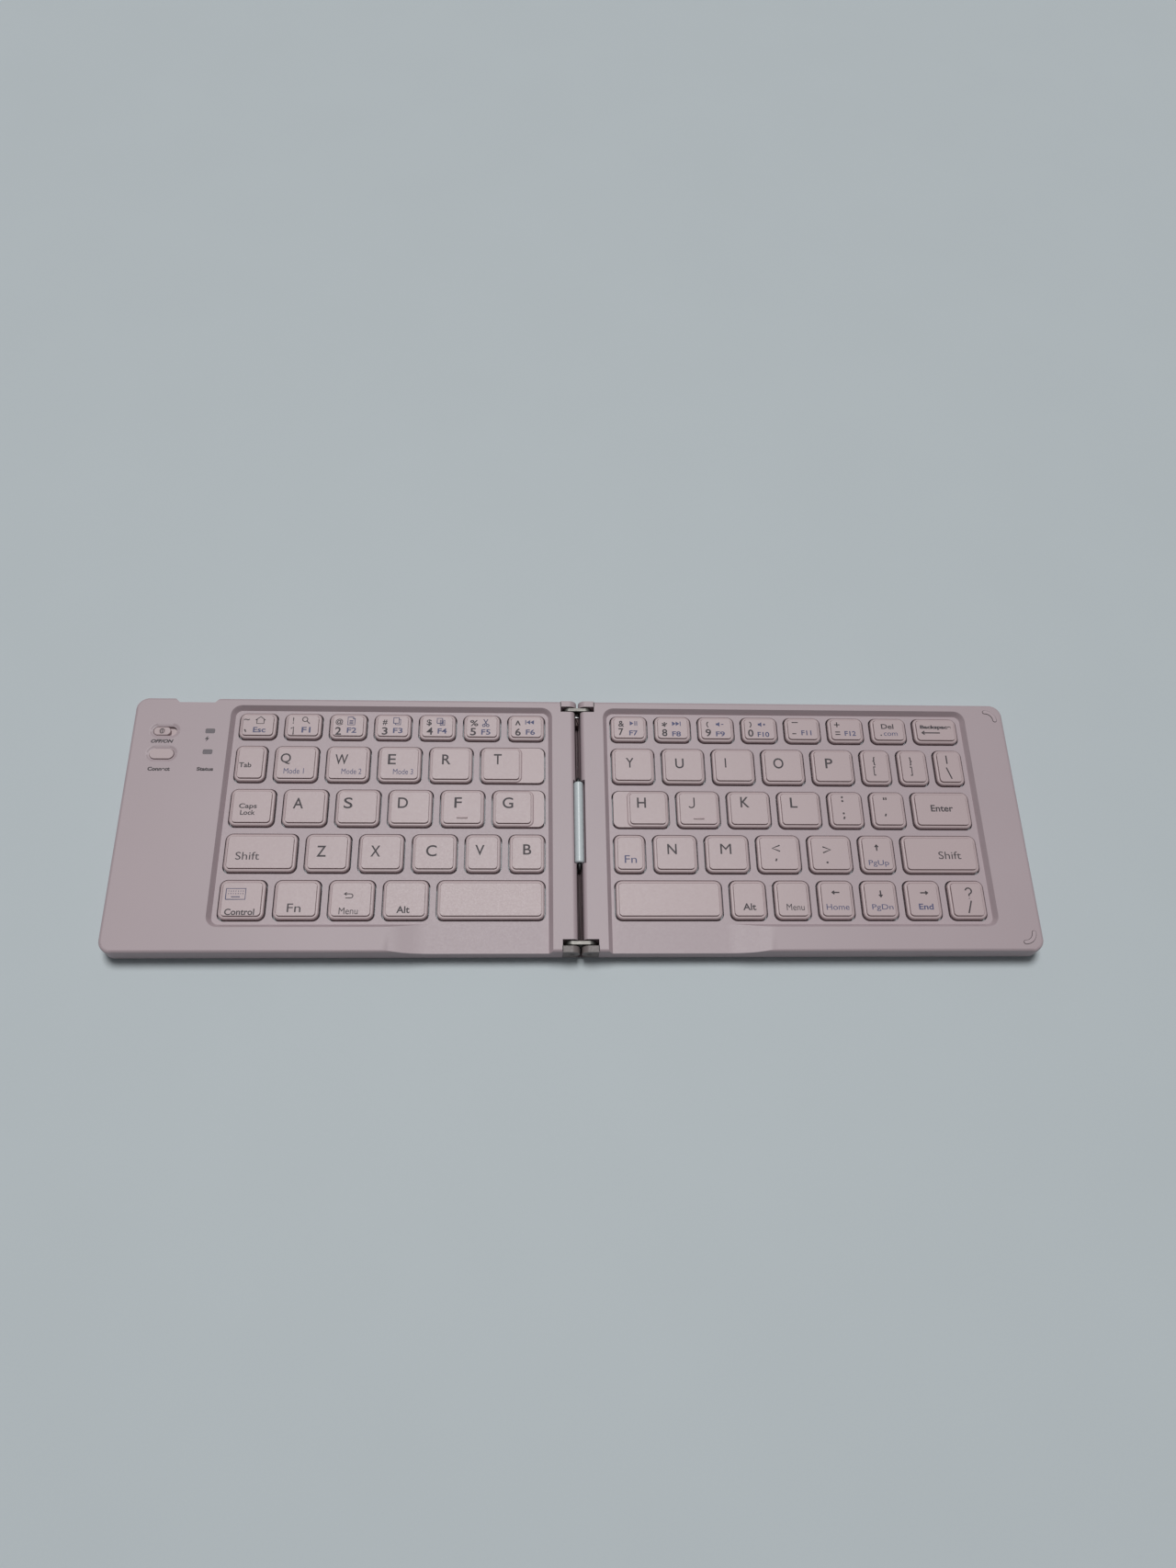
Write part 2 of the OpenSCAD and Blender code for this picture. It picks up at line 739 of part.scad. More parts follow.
// The bar that the first finger finds on F and J
homing_bar = [3.4, 0.4, 0.15];
homing_in = 2.8;
module find_bar() {
    translate([0, homing_in - key_d / 2, cap_top])
        cube([homing_bar[0], homing_bar[1], 2 * homing_bar[2]], center = true);
}

// Keys first to last of one row, counted from the slit outwards
module keys(side, r, first, last) {
    color(key_pink) on_side(side) for (i = [first:last])
        translate([key_cx(side, r, i), row_y(r), 0]) {
            key_cap(key_w(side, r, i), key_depth(r), shelf(side, r, i));
            if (r == A_ROW && i == 1) find_bar();
        }
}

module keys_1_to_6() keys(LEFT, NUMBER_ROW, 0, 5);
module key_escape() keys(LEFT, NUMBER_ROW, 6, 6);
module key_t() keys(LEFT, Q_ROW, 0, 0);
module keys_q_to_r() keys(LEFT, Q_ROW, 1, 4);
module key_tab() keys(LEFT, Q_ROW, 5, 5);
module key_g() keys(LEFT, A_ROW, 0, 0);
module keys_a_to_f() keys(LEFT, A_ROW, 1, 4);
module key_caps_lock() keys(LEFT, A_ROW, 5, 5);
module keys_v_b() keys(LEFT, Z_ROW, 0, 1);
module keys_z_to_c() keys(LEFT, Z_ROW, 2, 4);
module key_left_shift() keys(LEFT, Z_ROW, 5, 5);
module key_left_space() keys(LEFT, SPACE_ROW, 0, 0);
module keys_left_modifiers() keys(LEFT, SPACE_ROW, 1, 4);
module keys_7_to_delete() keys(RIGHT, NUMBER_ROW, 0, 6);
module key_backspace() keys(RIGHT, NUMBER_ROW, 7, 7);
module keys_y_to_p() keys(RIGHT, Q_ROW, 0, 4);
module keys_brackets() keys(RIGHT, Q_ROW, 5, 7);
module key_h() keys(RIGHT, A_ROW, 0, 0);
module keys_j_to_l() keys(RIGHT, A_ROW, 1, 3);
module keys_semicolon_quote() keys(RIGHT, A_ROW, 4, 5);
module key_enter() keys(RIGHT, A_ROW, 6, 6);
module key_right_function() keys(RIGHT, Z_ROW, 0, 0);
module keys_n_to_stop() keys(RIGHT, Z_ROW, 1, 4);
module key_up() keys(RIGHT, Z_ROW, 5, 5);
module key_right_shift() keys(RIGHT, Z_ROW, 6, 6);
module key_right_space() keys(RIGHT, SPACE_ROW, 0, 0);
module keys_right_modifiers() keys(RIGHT, SPACE_ROW, 1, 2);
module keys_home_to_end() keys(RIGHT, SPACE_ROW, 3, 5);
module key_slash() keys(RIGHT, SPACE_ROW, 6, 6);

// ---- Hinge ----

// A knuckle round the pin, with a tongue that lies on the bottom cover
module hinge_bracket() {
    difference() {
        union() {
            translate([pivot_x, -pocket_y - link_gap, pivot_z]) rotate([90, 0, 0])
                cylinder(r = knuckle_r, h = knuckle_t);
            block([pivot_x, -depth / 2, part_z + 0.05],
                [knuckle_end, -pocket_y - link_gap, pivot_z + knuckle_r]);
            block([slit_x + 0.1, -depth / 2, part_z + 0.05],
                [knuckle_end, -pocket_y + tongue_len, tongue_top]);
        }
        translate([pivot_x, 0, pivot_z]) rotate([90, 0, 0])
            cylinder(r = pin_r + 0.01, h = depth);
    }
}

module left_hinge_brackets() {
    color(knuckle_grey) on_side(LEFT) both_ends() hinge_bracket();
}

module right_hinge_brackets() {
    color(knuckle_grey) on_side(RIGHT) both_ends() hinge_bracket();
}

module hinge_pin() {
    pin_end = 0.15;
    translate([pivot_x, -pocket_y + pin_socket - 0.05, pivot_z]) rotate([90, 0, 0])
        cylinder(r = pin_r, h = depth / 2 - pocket_y + pin_socket - 0.05 - pin_end);
}

module left_hinge_pins() {
    color(steel) on_side(LEFT) both_ends() hinge_pin();
}

module right_hinge_pins() {
    color(steel) on_side(RIGHT) both_ends() hinge_pin();
}

module hinge_links() {
    color(steel) both_ends() translate([0, -link_y + link_t / 2, pivot_z]) rotate([90, 0, 0])
        linear_extrude(link_t) difference() {
            pill(2 * pivot_x + 2 * link_r, 2 * link_r);
            for (s = [-1, 1]) translate([s * pivot_x, 0]) circle(pin_r + pin_clear);
        }
}

module cable_tube() {
    bore_r = wire_d / 2 + 0.3;
    end_r = 0.35;
    color(tube_white) translate([0, 0, tube_z]) rotate([90, 0, 0]) rotate_extrude()
        polygon([[bore_r, -tube_len / 2], [tube_r - end_r, -tube_len / 2],
            [tube_r, -tube_len / 2 + end_r], [tube_r, tube_len / 2 - end_r],
            [tube_r - end_r, tube_len / 2], [bore_r, tube_len / 2]]);
}

// The wires leave the tube's front end for the left half and its back end for the right half
module hinge_wires() {
    color("black") {
        translate([0, wire_out, tube_z]) rotate([90, 0, 0]) cylinder(d = wire_d, h = 2 * wire_out);
        for (turn = [0, 180]) rotate([0, 0, turn]) {
            translate([0, -wire_out, tube_z - wire_bend]) rotate([0, -90, 0])
                rotate([0, 0, -90]) wire_elbow(wire_bend);
            translate([0, wire_y, wire_z + wire_turn])
                cylinder(d = wire_d, h = tube_z - wire_bend - wire_z - wire_turn);
            translate([-wire_turn, wire_y, wire_z + wire_turn]) rotate([90, 0, 0])
                rotate([0, 0, -90]) wire_elbow(wire_turn);
            translate([-slit_wall, wire_y, wire_z]) rotate([0, 90, 0])
                cylinder(d = wire_d, h = slit_wall - wire_turn);
        }
    }
}

// A quarter turn of wire
module wire_elbow(r) {
    rotate_extrude(angle = 90) translate([r, 0]) circle(d = wire_d);
}

// ---- Electronics in the left half ----

module battery() {
    size = [bay_x1 - bay_x0 - 3.6, 36];
    thick = skin_under - part_z - 0.9;
    y1 = board_y0 - 2;
    color([0.78, 0.79, 0.8]) on_side(LEFT)
        translate([(bay_x0 + bay_x1) / 2, y1 - size[1] / 2, part_z + 0.05])
            profiled_slab(size, 1.6, [[0.6, 0], [0, 0.6], [0, thick - 0.6], [0.6, thick]]);
}

module main_board() {
    x0 = bay_x0 + 0.5;
    x1 = bay_x1 - 1.6;
    mid_x = (x0 + x1) / 2;
    color(board_green) on_side(LEFT) {
        difference() {
            block([x0, board_y0, board_z], [x1, board_y1 - 0.2, board_top]);
            block([port_cx - port_w / 2 - 0.1, board_y1 + notch_d - port_len - 0.3, 0],
                [port_cx + port_w / 2 + 0.1, depth, height]);
        }
        // controller chip, crystal, battery connector and the two lamps
        block([mid_x - 3.5, board_y0 + 9, board_top], [mid_x + 3.5, board_y0 + 16, board_top + 0.9]);
        block([mid_x - 9, board_y0 + 10, board_top], [mid_x - 5.8, board_y0 + 12.5, board_top + 0.7]);
        block([mid_x + 5, board_y0 + 1, board_top], [mid_x + 9, board_y0 + 4, board_top + 1.3]);
        for (y = [charge_cy, status_cy]) translate([light_cx, y, board_top + 0.35])
            cube([1.6, 0.8, 0.7], center = true);
    }
}

module charge_port() {
    mouth_y = depth / 2 - notch_d - 0.1;
    color(steel) on_side(LEFT) translate([port_cx, mouth_y, port_z]) rotate([90, 0, 0]) {
        difference() {
            linear_extrude(port_len) pill(port_w, port_h);
            translate([0, 0, -over]) linear_extrude(port_len - 1 + over)
                pill(port_w - 2 * port_wall, port_h - 2 * port_wall);
        }
        translate([0, 0, (port_len + 0.8) / 2]) cube([6.7, 0.7, port_len - 0.8], center = true);
    }
}

module power_switch() {
    body = [8.6, 3.4, 1.4];
    color(steel) on_side(LEFT) translate([control_cx, switch_cy, board_top]) difference() {
        translate([-body[0] / 2, -body[1] / 2, 0]) cube(body);
        translate([-3, -0.8, 0.5]) cube([6, 1.6, over]);
    }
}

knob_gap = 0.15;
knob_len = slot_len - switch_travel - 2 * knob_gap;
module power_switch_knob() {
    rest_x = control_cx + switch_travel / 2;
    plate_z0 = board_top + 1.45;
    plate_h = 0.25;
    color(key_pink) on_side(LEFT) translate([rest_x, switch_cy, 0]) {
        translate([0, 0, plate_z0]) linear_extrude(plate_h)
            square([slot_len + switch_travel, slot_w + 1.4], center = true);
        translate([0, 0, plate_z0 + plate_h]) linear_extrude(rim_z - 0.35 - plate_z0 - plate_h)
            rounded(knob_len, slot_w - 2 * knob_gap, (slot_w - 2 * knob_gap) / 2 - 0.1);
        translate([-0.6, -0.55, board_top + 0.7]) cube([1.2, 1.1, 0.8]);
    }
}

module connect_button() {
    flange_z = skin_under - 0.35;
    color(key_pink) on_side(LEFT) translate([control_cx, button_cy, 0]) {
        translate([0, 0, flange_z]) linear_extrude(0.3) pill(button_len + 1.4, button_w + 1.4);
        translate([0, 0, flange_z + 0.3]) linear_extrude(rim_z - 0.1 - flange_z - 0.3)
            pill(button_len, button_w);
        translate([0, 0, board_top + 1.02 + button_travel])
            cylinder(r = 1, h = flange_z - board_top - 1.02 - button_travel + 0.1);
    }
}

module connect_tact_switch() {
    color(steel) on_side(LEFT) translate([control_cx, button_cy, board_top]) {
        translate([-1.5, -1.5, 0]) cube([3, 3, 0.7]);
        cylinder(r = 0.8, h = 1);
    }
}

module light_windows() {
    color([0.6, 0.6, 0.62]) on_side(LEFT) for (y = [charge_cy, status_cy])
        translate([light_cx, y, 0]) {
            translate([0, 0, skin_under - 0.4]) linear_extrude(0.35)
                square([window[0] + 1.2, window[1] + 1], center = true);
            translate([0, 0, skin_under - 0.1]) linear_extrude(skin_t + 0.05)
                rounded(window[0], window[1], window_r);
        }
}

left_top_case();
left_bottom_cover();
left_key_plate();
left_dome_sheet();
left_scissor_frames();
left_hinge_brackets();
left_hinge_pins();
left_feet();
left_magnets();
main_board();
battery();
charge_port();
power_switch();
power_switch_knob();
connect_button();
connect_tact_switch();
light_windows();
hinge_links();
cable_tube();
hinge_wires();
right_top_case();
right_bottom_cover();
right_key_plate();
right_dome_sheet();
right_scissor_frames();
right_hinge_brackets();
right_hinge_pins();
right_feet();
right_magnets();
right_corner_bumpers();
key_escape();
keys_1_to_6();
key_tab();
keys_q_to_r();
key_t();
key_caps_lock();
keys_a_to_f();
key_g();
key_left_shift();
keys_z_to_c();
keys_v_b();
keys_left_modifiers();
key_left_space();
keys_7_to_delete();
key_backspace();
keys_y_to_p();
keys_brackets();
key_h();
keys_j_to_l();
keys_semicolon_quote();
key_enter();
key_right_function();
keys_n_to_stop();
key_up();
key_right_shift();
key_right_space();
keys_right_modifiers();
keys_home_to_end();
key_slash();
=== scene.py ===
import json
import math

import bmesh
import bpy
from mathutils import Matrix, Vector

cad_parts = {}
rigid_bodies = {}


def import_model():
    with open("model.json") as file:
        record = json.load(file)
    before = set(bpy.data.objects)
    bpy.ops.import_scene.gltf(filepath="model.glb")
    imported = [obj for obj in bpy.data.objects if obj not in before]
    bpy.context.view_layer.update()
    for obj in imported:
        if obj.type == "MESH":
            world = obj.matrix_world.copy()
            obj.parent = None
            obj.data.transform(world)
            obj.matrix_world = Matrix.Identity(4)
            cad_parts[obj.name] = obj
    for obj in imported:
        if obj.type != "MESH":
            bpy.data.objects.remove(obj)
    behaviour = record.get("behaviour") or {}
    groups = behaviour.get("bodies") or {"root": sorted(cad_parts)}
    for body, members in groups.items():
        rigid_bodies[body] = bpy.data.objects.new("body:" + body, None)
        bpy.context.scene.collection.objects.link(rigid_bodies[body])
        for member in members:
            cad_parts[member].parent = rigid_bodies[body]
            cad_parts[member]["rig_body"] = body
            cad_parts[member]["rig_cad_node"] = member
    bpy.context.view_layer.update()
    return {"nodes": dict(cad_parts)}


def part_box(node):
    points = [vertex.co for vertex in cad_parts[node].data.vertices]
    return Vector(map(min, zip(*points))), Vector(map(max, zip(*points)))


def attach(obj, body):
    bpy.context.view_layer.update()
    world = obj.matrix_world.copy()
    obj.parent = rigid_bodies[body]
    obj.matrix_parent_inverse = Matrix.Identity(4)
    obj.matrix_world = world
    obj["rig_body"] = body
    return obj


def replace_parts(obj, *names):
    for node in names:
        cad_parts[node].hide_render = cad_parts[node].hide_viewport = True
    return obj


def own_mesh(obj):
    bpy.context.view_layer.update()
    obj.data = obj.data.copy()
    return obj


# Looks of the folding keyboard. Lengths are in mm, and MM turns them into Blender's metres.
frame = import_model()
MM = 0.001

RIM_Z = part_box("right_top_case")[1].z / MM
CAP_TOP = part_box("key_enter")[1].z / MM
CAP_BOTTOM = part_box("key_enter")[0].z / MM

# How far a key cap's face stands above its upright skirt
SHOULDER = 0.75
# How the cap narrows above the skirt, in steps of (run inwards, rise)
STEPS = [(0.3, 0.28), (0.45, 0.05)]
# The groove round the raised face, and the face's own edge, in the same steps
GROOVE = [(0.02, -0.28), (0.15, 0), (0.04, 0.7)]
# A cap's corner radius, the small round on its edges, its walls, and the roof over its hollow
KEY_R = 2
CAP_EDGE = 0.06
CAP_WALL = 0.95
CAP_ROOF = CAP_WALL + 0.2
# How far a cap stays inside its packed size on each side, so that the gap round it reads as dark
CAP_EASE = 0.13
# The low shelf on the slit's side of T, G and H: its width, above zero where it is on the cap's right
SHELVES = {"key_t": 6.9, "key_g": 3.2, "key_h": -4.25}
# How far the raised pad beside a shelf stands inside the cap, and how deep it is sunk into it
PAD_EASE = 0.03
PAD_SUNK = 0.3

LEFT_KEYS = [
    "key_escape", "keys_1_to_6", "key_tab", "keys_q_to_r", "key_t", "key_caps_lock", "keys_a_to_f",
    "key_g", "key_left_shift", "keys_z_to_c", "keys_v_b", "keys_left_modifiers", "key_left_space",
]
RIGHT_KEYS = [
    "keys_7_to_delete", "key_backspace", "keys_y_to_p", "keys_brackets", "key_h", "keys_j_to_l",
    "keys_semicolon_quote", "key_enter", "key_right_function", "keys_n_to_stop", "key_up",
    "key_right_shift", "key_right_space", "keys_right_modifiers", "keys_home_to_end", "key_slash",
]
KEYS = LEFT_KEYS + RIGHT_KEYS
# Which way each half lies from the slit
SIDES = [(-1, "left_half"), (1, "right_half")]
# Half the slit's width, and where the hinge's pockets start
SLIT_X = 0.85
HINGE_Y = 38.25
# The x of the seam between a knuckle and its case, and the y where the knuckles start
KNUCKLE_X = 5.375
KNUCKLE_Y = 40.2


# ---- Camera and light ----

# The photograph's height and the camera's focal length in its pixels, and the width of Blender's film
PHOTO_HEIGHT = 1707
FOCAL_PIXELS = 1293
FILM = 36
# How near the camera, in metres, things are still drawn
NEAREST = 0.01
# Where the camera stands, how far it looks down and to the right, and how far it leans
CAMERA_PLACE = (-17.3, -146.7, 343.6)
CAMERA_DOWN = math.radians(64.513)
CAMERA_TURN = math.radians(7.257)
CAMERA_ROLL = math.radians(6.881)
# The direction that the window's light comes from, how wide the window looks, and its strength
WINDOW_PLACE = (-0.05, 0.45, 1.4)
WINDOW_WIDTH = math.radians(24)
WINDOW_STRENGTH = 1.84
# How strongly the room lights the keyboard, and how bright it looks behind the table
FILL_STRENGTH = 0.13
BACKDROP_STRENGTH = 0.6


def place_camera():
    """Stands the camera where the photograph was taken, worked out from the rim and the keys."""
    ahead = Vector((
        math.sin(CAMERA_TURN) * math.cos(CAMERA_DOWN),
        math.cos(CAMERA_TURN) * math.cos(CAMERA_DOWN),
        -math.sin(CAMERA_DOWN),
    ))
    level = Vector((math.cos(CAMERA_TURN), -math.sin(CAMERA_TURN), 0))
    up = level.cross(ahead)
    right = level * math.cos(CAMERA_ROLL) + up * math.sin(CAMERA_ROLL)
    top = up * math.cos(CAMERA_ROLL) - level * math.sin(CAMERA_ROLL)
    camera = bpy.data.objects.new("camera", bpy.data.cameras.new("camera"))
    bpy.context.scene.collection.objects.link(camera)
    turn = Matrix((right, top, -ahead)).transposed().to_4x4()
    camera.matrix_world = Matrix.Translation(Vector(CAMERA_PLACE) * MM) @ turn
    camera.data.sensor_width = FILM
    camera.data.lens = FOCAL_PIXELS / PHOTO_HEIGHT * FILM
    camera.data.clip_start = NEAREST
    bpy.context.scene.camera = camera


def light_window():
    """An even, soft light from high up, a little behind the keyboard."""
    lamp = bpy.data.objects.new("window_light", bpy.data.lights.new("window_light", "SUN"))
    bpy.context.scene.collection.objects.link(lamp)
    lamp.data.angle = WINDOW_WIDTH
    lamp.data.energy = WINDOW_STRENGTH
    lamp.location = WINDOW_PLACE
    lamp.rotation_euler = (-Vector(WINDOW_PLACE)).to_track_quat("-Z", "Y").to_euler()


place_camera()
light_window()
bpy.context.scene.view_settings.view_transform = "Standard"


# ---- Modelling by hand, in code ----

# A face looks along a direction when this much of its normal points that way
SQUARE = 0.95
# Points this near in height are level, and points this near from above are over each other
LEVEL = 0.01
OVER = 0.001
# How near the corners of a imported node's triangles are merged, and how flat its joined faces are
MERGE = 0.002
FLAT = math.radians(0.5)
# Edges sharper than these are rounded on a copy of a node, and kept sharp in the shading
SOFT_ANGLE = math.radians(30)
SHARP_ANGLE = math.radians(40)


def clear():
    """Lets go of everything."""
    bpy.ops.object.select_all(action="DESELECT")


def hold(*pieces):
    """Takes hold of these pieces and nothing else."""
    clear()
    for piece in pieces:
        piece.select_set(True)
    bpy.context.view_layer.objects.active = pieces[0]


def edit(piece):
    """Takes hold of a piece and starts to shape it."""
    hold(piece)
    bpy.ops.object.mode_set(mode="EDIT")


def put_down():
    """Ends the shaping of a piece."""
    bpy.ops.object.mode_set(mode="OBJECT")


def settle(name):
    """Names the new piece and moves its place into its mesh."""
    piece = bpy.context.object
    bpy.ops.object.transform_apply(location=True, rotation=True, scale=True)
    piece.name = name
    return piece


def block(name, low, high):
    """A box between two corners, to be shaped further."""
    clear()
    bpy.ops.mesh.primitive_cube_add(
        size=1,
        location=[(a + b) / 2 * MM for a, b in zip(low, high)],
        scale=[(b - a) * MM for a, b in zip(low, high)],
    )
    return settle(name)


def disc(name, centre, radius, height, sides, rotation=(0, 0, 0)):
    """A short round bar with its middle at centre, to be shaped further."""
    clear()
    bpy.ops.mesh.primitive_cylinder_add(
        vertices=sides, radius=radius * MM, depth=height * MM,
        location=[c * MM for c in centre], rotation=rotation,
    )
    return settle(name)


def pick(piece, kind, test):
    """In edit mode, selects the faces or edges that pass the test."""
    bpy.ops.mesh.select_mode(type=kind)
    bpy.ops.mesh.select_all(action="DESELECT")
    mesh = bmesh.from_edit_mesh(piece.data)
    for part in (mesh.faces if kind == "FACE" else mesh.edges):
        if test(part):
            part.select_set(True)
    mesh.select_flush_mode()
    bmesh.update_edit_mesh(piece.data)


def upright(edge):
    """Whether an edge stands upright."""
    a, b = (v.co for v in edge.verts)
    return (a - b).xy.length < OVER * MM


def level_at(*heights):
    """Tests whether an edge runs level at one of these heights."""
    return lambda edge: any(
        all(abs(v.co.z / MM - z) < LEVEL for v in edge.verts) for z in heights)


def facing(*direction):
    """Tests whether a face looks along a direction."""
    return lambda face: face.normal.dot(Vector(direction)) > SQUARE


def top_face(piece):
    """Tests whether a face looks up and none is higher."""
    mesh = bmesh.from_edit_mesh(piece.data)
    highest = max(f.calc_center_median().z for f in mesh.faces)
    return lambda face: face.normal.z > SQUARE and face.calc_center_median().z > highest - LEVEL * MM


def round_edges(size, segments):
    """Rounds the edges that are picked."""
    bpy.ops.mesh.bevel(offset=size * MM, segments=segments, affect="EDGES")


def step_in(steps):
    """Insets the faces that are picked, in steps of (run inwards, rise)."""
    for run, rise in steps:
        bpy.ops.mesh.inset(thickness=run * MM, depth=rise * MM)


def upright_block(name, low, high, corner, segments=8):
    """A box with round upright corners, still being shaped."""
    piece = block(name, low, high)
    edit(piece)
    pick(piece, "EDGE", upright)
    round_edges(corner, segments)
    return piece


def rounded_bar(name, low, high, corner, edge, segments=6):
    """A box with round upright corners and a small round along its top."""
    piece = upright_block(name, low, high, corner, segments)
    pick(piece, "EDGE", level_at(high[2]))
    round_edges(edge, 3)
    put_down()
    smooth(piece)
    return piece


def smooth(piece):
    """Shades the rounds smoothly and keeps the flat faces flat."""
    hold(piece)
    bpy.ops.object.shade_smooth_by_angle(angle=SHARP_ANGLE)
    even = piece.modifiers.new("flat_faces", "WEIGHTED_NORMAL")
    even.keep_sharp = True
    bpy.ops.object.modifier_apply(modifier=even.name)


def joined(parts, name):
    """Joins the parts into the first one."""
    hold(*parts)
    bpy.ops.object.join()
    parts[0].name = name
    return parts[0]


def moved(piece, x, y, name):
    """A copy of a piece with its own mesh, moved over the table."""
    copy = piece.copy()
    copy.data = piece.data.copy()
    copy.data.transform(Matrix.Translation((x * MM, y * MM, 0)))
    copy.name = name
    bpy.context.scene.collection.objects.link(copy)
    return copy


def copied(node, name):
    """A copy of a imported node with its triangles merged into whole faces, to be shaped further."""
    source = frame["nodes"][node]
    piece = source.copy()
    piece.data = source.data.copy()
    piece.parent = None
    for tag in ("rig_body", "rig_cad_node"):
        del piece[tag]
    piece.name = name
    bpy.context.scene.collection.objects.link(piece)
    edit(piece)
    bpy.ops.mesh.select_all(action="SELECT")
    bpy.ops.mesh.remove_doubles(threshold=MERGE * MM)
    bpy.ops.mesh.dissolve_limited(angle_limit=FLAT)
    put_down()
    return piece


def softened(node, radius):
    """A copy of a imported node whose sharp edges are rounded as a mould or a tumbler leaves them."""
    piece = copied(node, "soft_" + node)
    bevel = piece.modifiers.new("rounded_edges", "BEVEL")
    bevel.width = radius * MM
    bevel.segments = 2
    bevel.limit_method = "ANGLE"
    bevel.angle_limit = SOFT_ANGLE
    bpy.ops.object.modifier_apply(modifier=bevel.name)
    smooth(piece)
    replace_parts(piece, node)
    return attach(piece, frame["nodes"][node]["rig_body"])


def within(point, low, high):
    """Whether a point lies between two corners, seen from above."""
    return low.x < point.x < high.x and low.y < point.y < high.y


# ---- Finishes ----

# The size of the broad noise that every finish strays with
BROAD_GRAIN = 40
# Between which values one noise varies, and two of them added
ONE_NOISE = (0.3, 0.7)
TWO_NOISES = (0.7, 1.3)


def linear(colour):
    """A colour written as sRGB hex, as the linear values that Blender works in."""
    parts = [int(colour[i:i + 2], 16) / 255 for i in (0, 2, 4)]
    return [p / 12.92 if p <= 0.04045 else ((p + 0.055) / 1.055) ** 2.4 for p in parts] + [1]


def add(tree, kind, inputs=None, **settings):
    """Adds one node, with its settings, and sets or links its inputs."""
    node = tree.nodes.new("ShaderNode" + kind)
    for name, value in settings.items():
        setattr(node, name, value)
    for name, value in (inputs or {}).items():
        if isinstance(value, bpy.types.NodeSocket):
            tree.links.new(value, node.inputs[name])
        else:
            node.inputs[name].default_value = value
    return node


def finish(name, colour, grain, stray, roughness, rough_stray, relief=0.0, stretch=(1, 1, 1), **shader):
    """A material whose colour, gloss and height all stray a little with a fine noise.

    grain is the noise's size in mm and relief its height in mm. stray and rough_stray say how far
    the colour and the roughness stray. A stretch under 1 draws the noise out along that axis."""
    material = bpy.data.materials.new(name)
    material.use_nodes = True
    tree = material.node_tree
    tree.nodes.clear()
    place = add(tree, "TexCoord")
    stretched = add(tree, "Mapping", {"Vector": place.outputs["Object"], "Scale": stretch})
    fine = add(tree, "TexNoise", {
        "Vector": stretched.outputs[0], "Scale": 1 / (grain * MM), "Detail": 3})
    broad = add(tree, "TexNoise", {
        "Vector": place.outputs["Object"], "Scale": 1 / (BROAD_GRAIN * MM), "Detail": 2})
    mixed = add(tree, "Math", {0: fine.outputs[0], 1: broad.outputs[0]}, operation="ADD")
    base = linear(colour)
    dark = [c * (1 - stray) for c in base[:3]] + [1]
    light = [min(1, c * (1 + stray)) for c in base[:3]] + [1]
    share = add(tree, "MapRange", {
        "Value": mixed.outputs[0], "From Min": TWO_NOISES[0], "From Max": TWO_NOISES[1]})
    tint = add(tree, "Mix", {"Factor": share.outputs[0], "A": dark, "B": light}, data_type="RGBA")
    gloss = add(tree, "MapRange", {
        "Value": fine.outputs[0], "From Min": ONE_NOISE[0], "From Max": ONE_NOISE[1],
        "To Min": roughness - rough_stray, "To Max": roughness + rough_stray})
    skin = add(tree, "BsdfPrincipled", {
        "Base Color": tint.outputs["Result"], "Roughness": gloss.outputs[0], **shader})
    if relief:
        height = add(tree, "Bump", {
            "Height": fine.outputs[0], "Distance": relief * MM, "Strength": 1})
        tree.links.new(height.outputs[0], skin.inputs["Normal"])
    add(tree, "OutputMaterial", {"Surface": skin.outputs[0]})
    return material


# Each finish gives its colour, grain, stray, roughness, rough_stray and relief.
# Spark-textured ABS, painted a pearly pink: an even, dull sheen with a fine grit. The grit of
# 0.1 mm is drawn at 0.35 mm, so that it shows.
case_paint = finish("pearl_painted_abs_case", "B5A4A9", 0.35, 0.03, 0.46, 0.05, 0.012)
key_paint = finish("pearl_painted_abs_key", "BFABAD", 0.35, 0.025, 0.42, 0.05, 0.008)
# The same ABS, unpainted underneath: a coarser grit, drawn at 0.6 mm
cover_abs = finish("spark_textured_abs_cover", "AC9CA1", 0.6, 0.04, 0.6, 0.06, 0.03)
# Die-cast zinc, painted grey: slightly uneven and satin
knuckle_zinc = finish("painted_diecast_zinc", "776E6D", 0.5, 0.05, 0.48, 0.07, 0.01)
# Stainless steel, stamped and polished: faint lines along its length
link_steel = finish("polished_stamped_steel", "656360", 0.12, 0.05, 0.46, 0.07, 0.001,
                    (0.08, 1, 1), Metallic=1.0)
# Stainless steel, turned and then polished lengthwise: bright, with faint lines along the pin
pin_steel = finish("turned_steel_pin", "A5A5A6", 0.15, 0.05, 0.28, 0.06, 0.002,
                   (1, 0.2, 1), Metallic=1.0)
# Cold-rolled steel plate: dull, with rolling marks
plate_steel = finish("cold_rolled_steel_plate", "B6B7B9", 0.4, 0.06, 0.42, 0.08, 0.002,
                     (0.1, 1, 1), Metallic=1.0)
# The same plate with a black baked coating. Its black is also painted shade: it stands in for the shade
# deep in the gaps round the keys, which look dark down to it
black_plate_and_gap_shade = finish("black_coated_plate_and_gap_shade", "1D1B1C", 0.4, 0.1, 0.5, 0.06, 0.004)
# Extruded polypropylene: milky, slightly blue, glossy
tube_polymer = finish("extruded_white_polypropylene", "CDD5D8", 1.5, 0.015, 0.28, 0.03, 0.002)
# Soft PVC on the wires: black and slightly waxy
wire_pvc = finish("extruded_black_pvc", "1B1B1C", 0.4, 0.08, 0.45, 0.06, 0.003)
# Moulded rubber: dark, dull, a little dusty
foot_rubber = finish("moulded_rubber_foot", "58545A", 0.3, 0.06, 0.75, 0.06, 0.01)
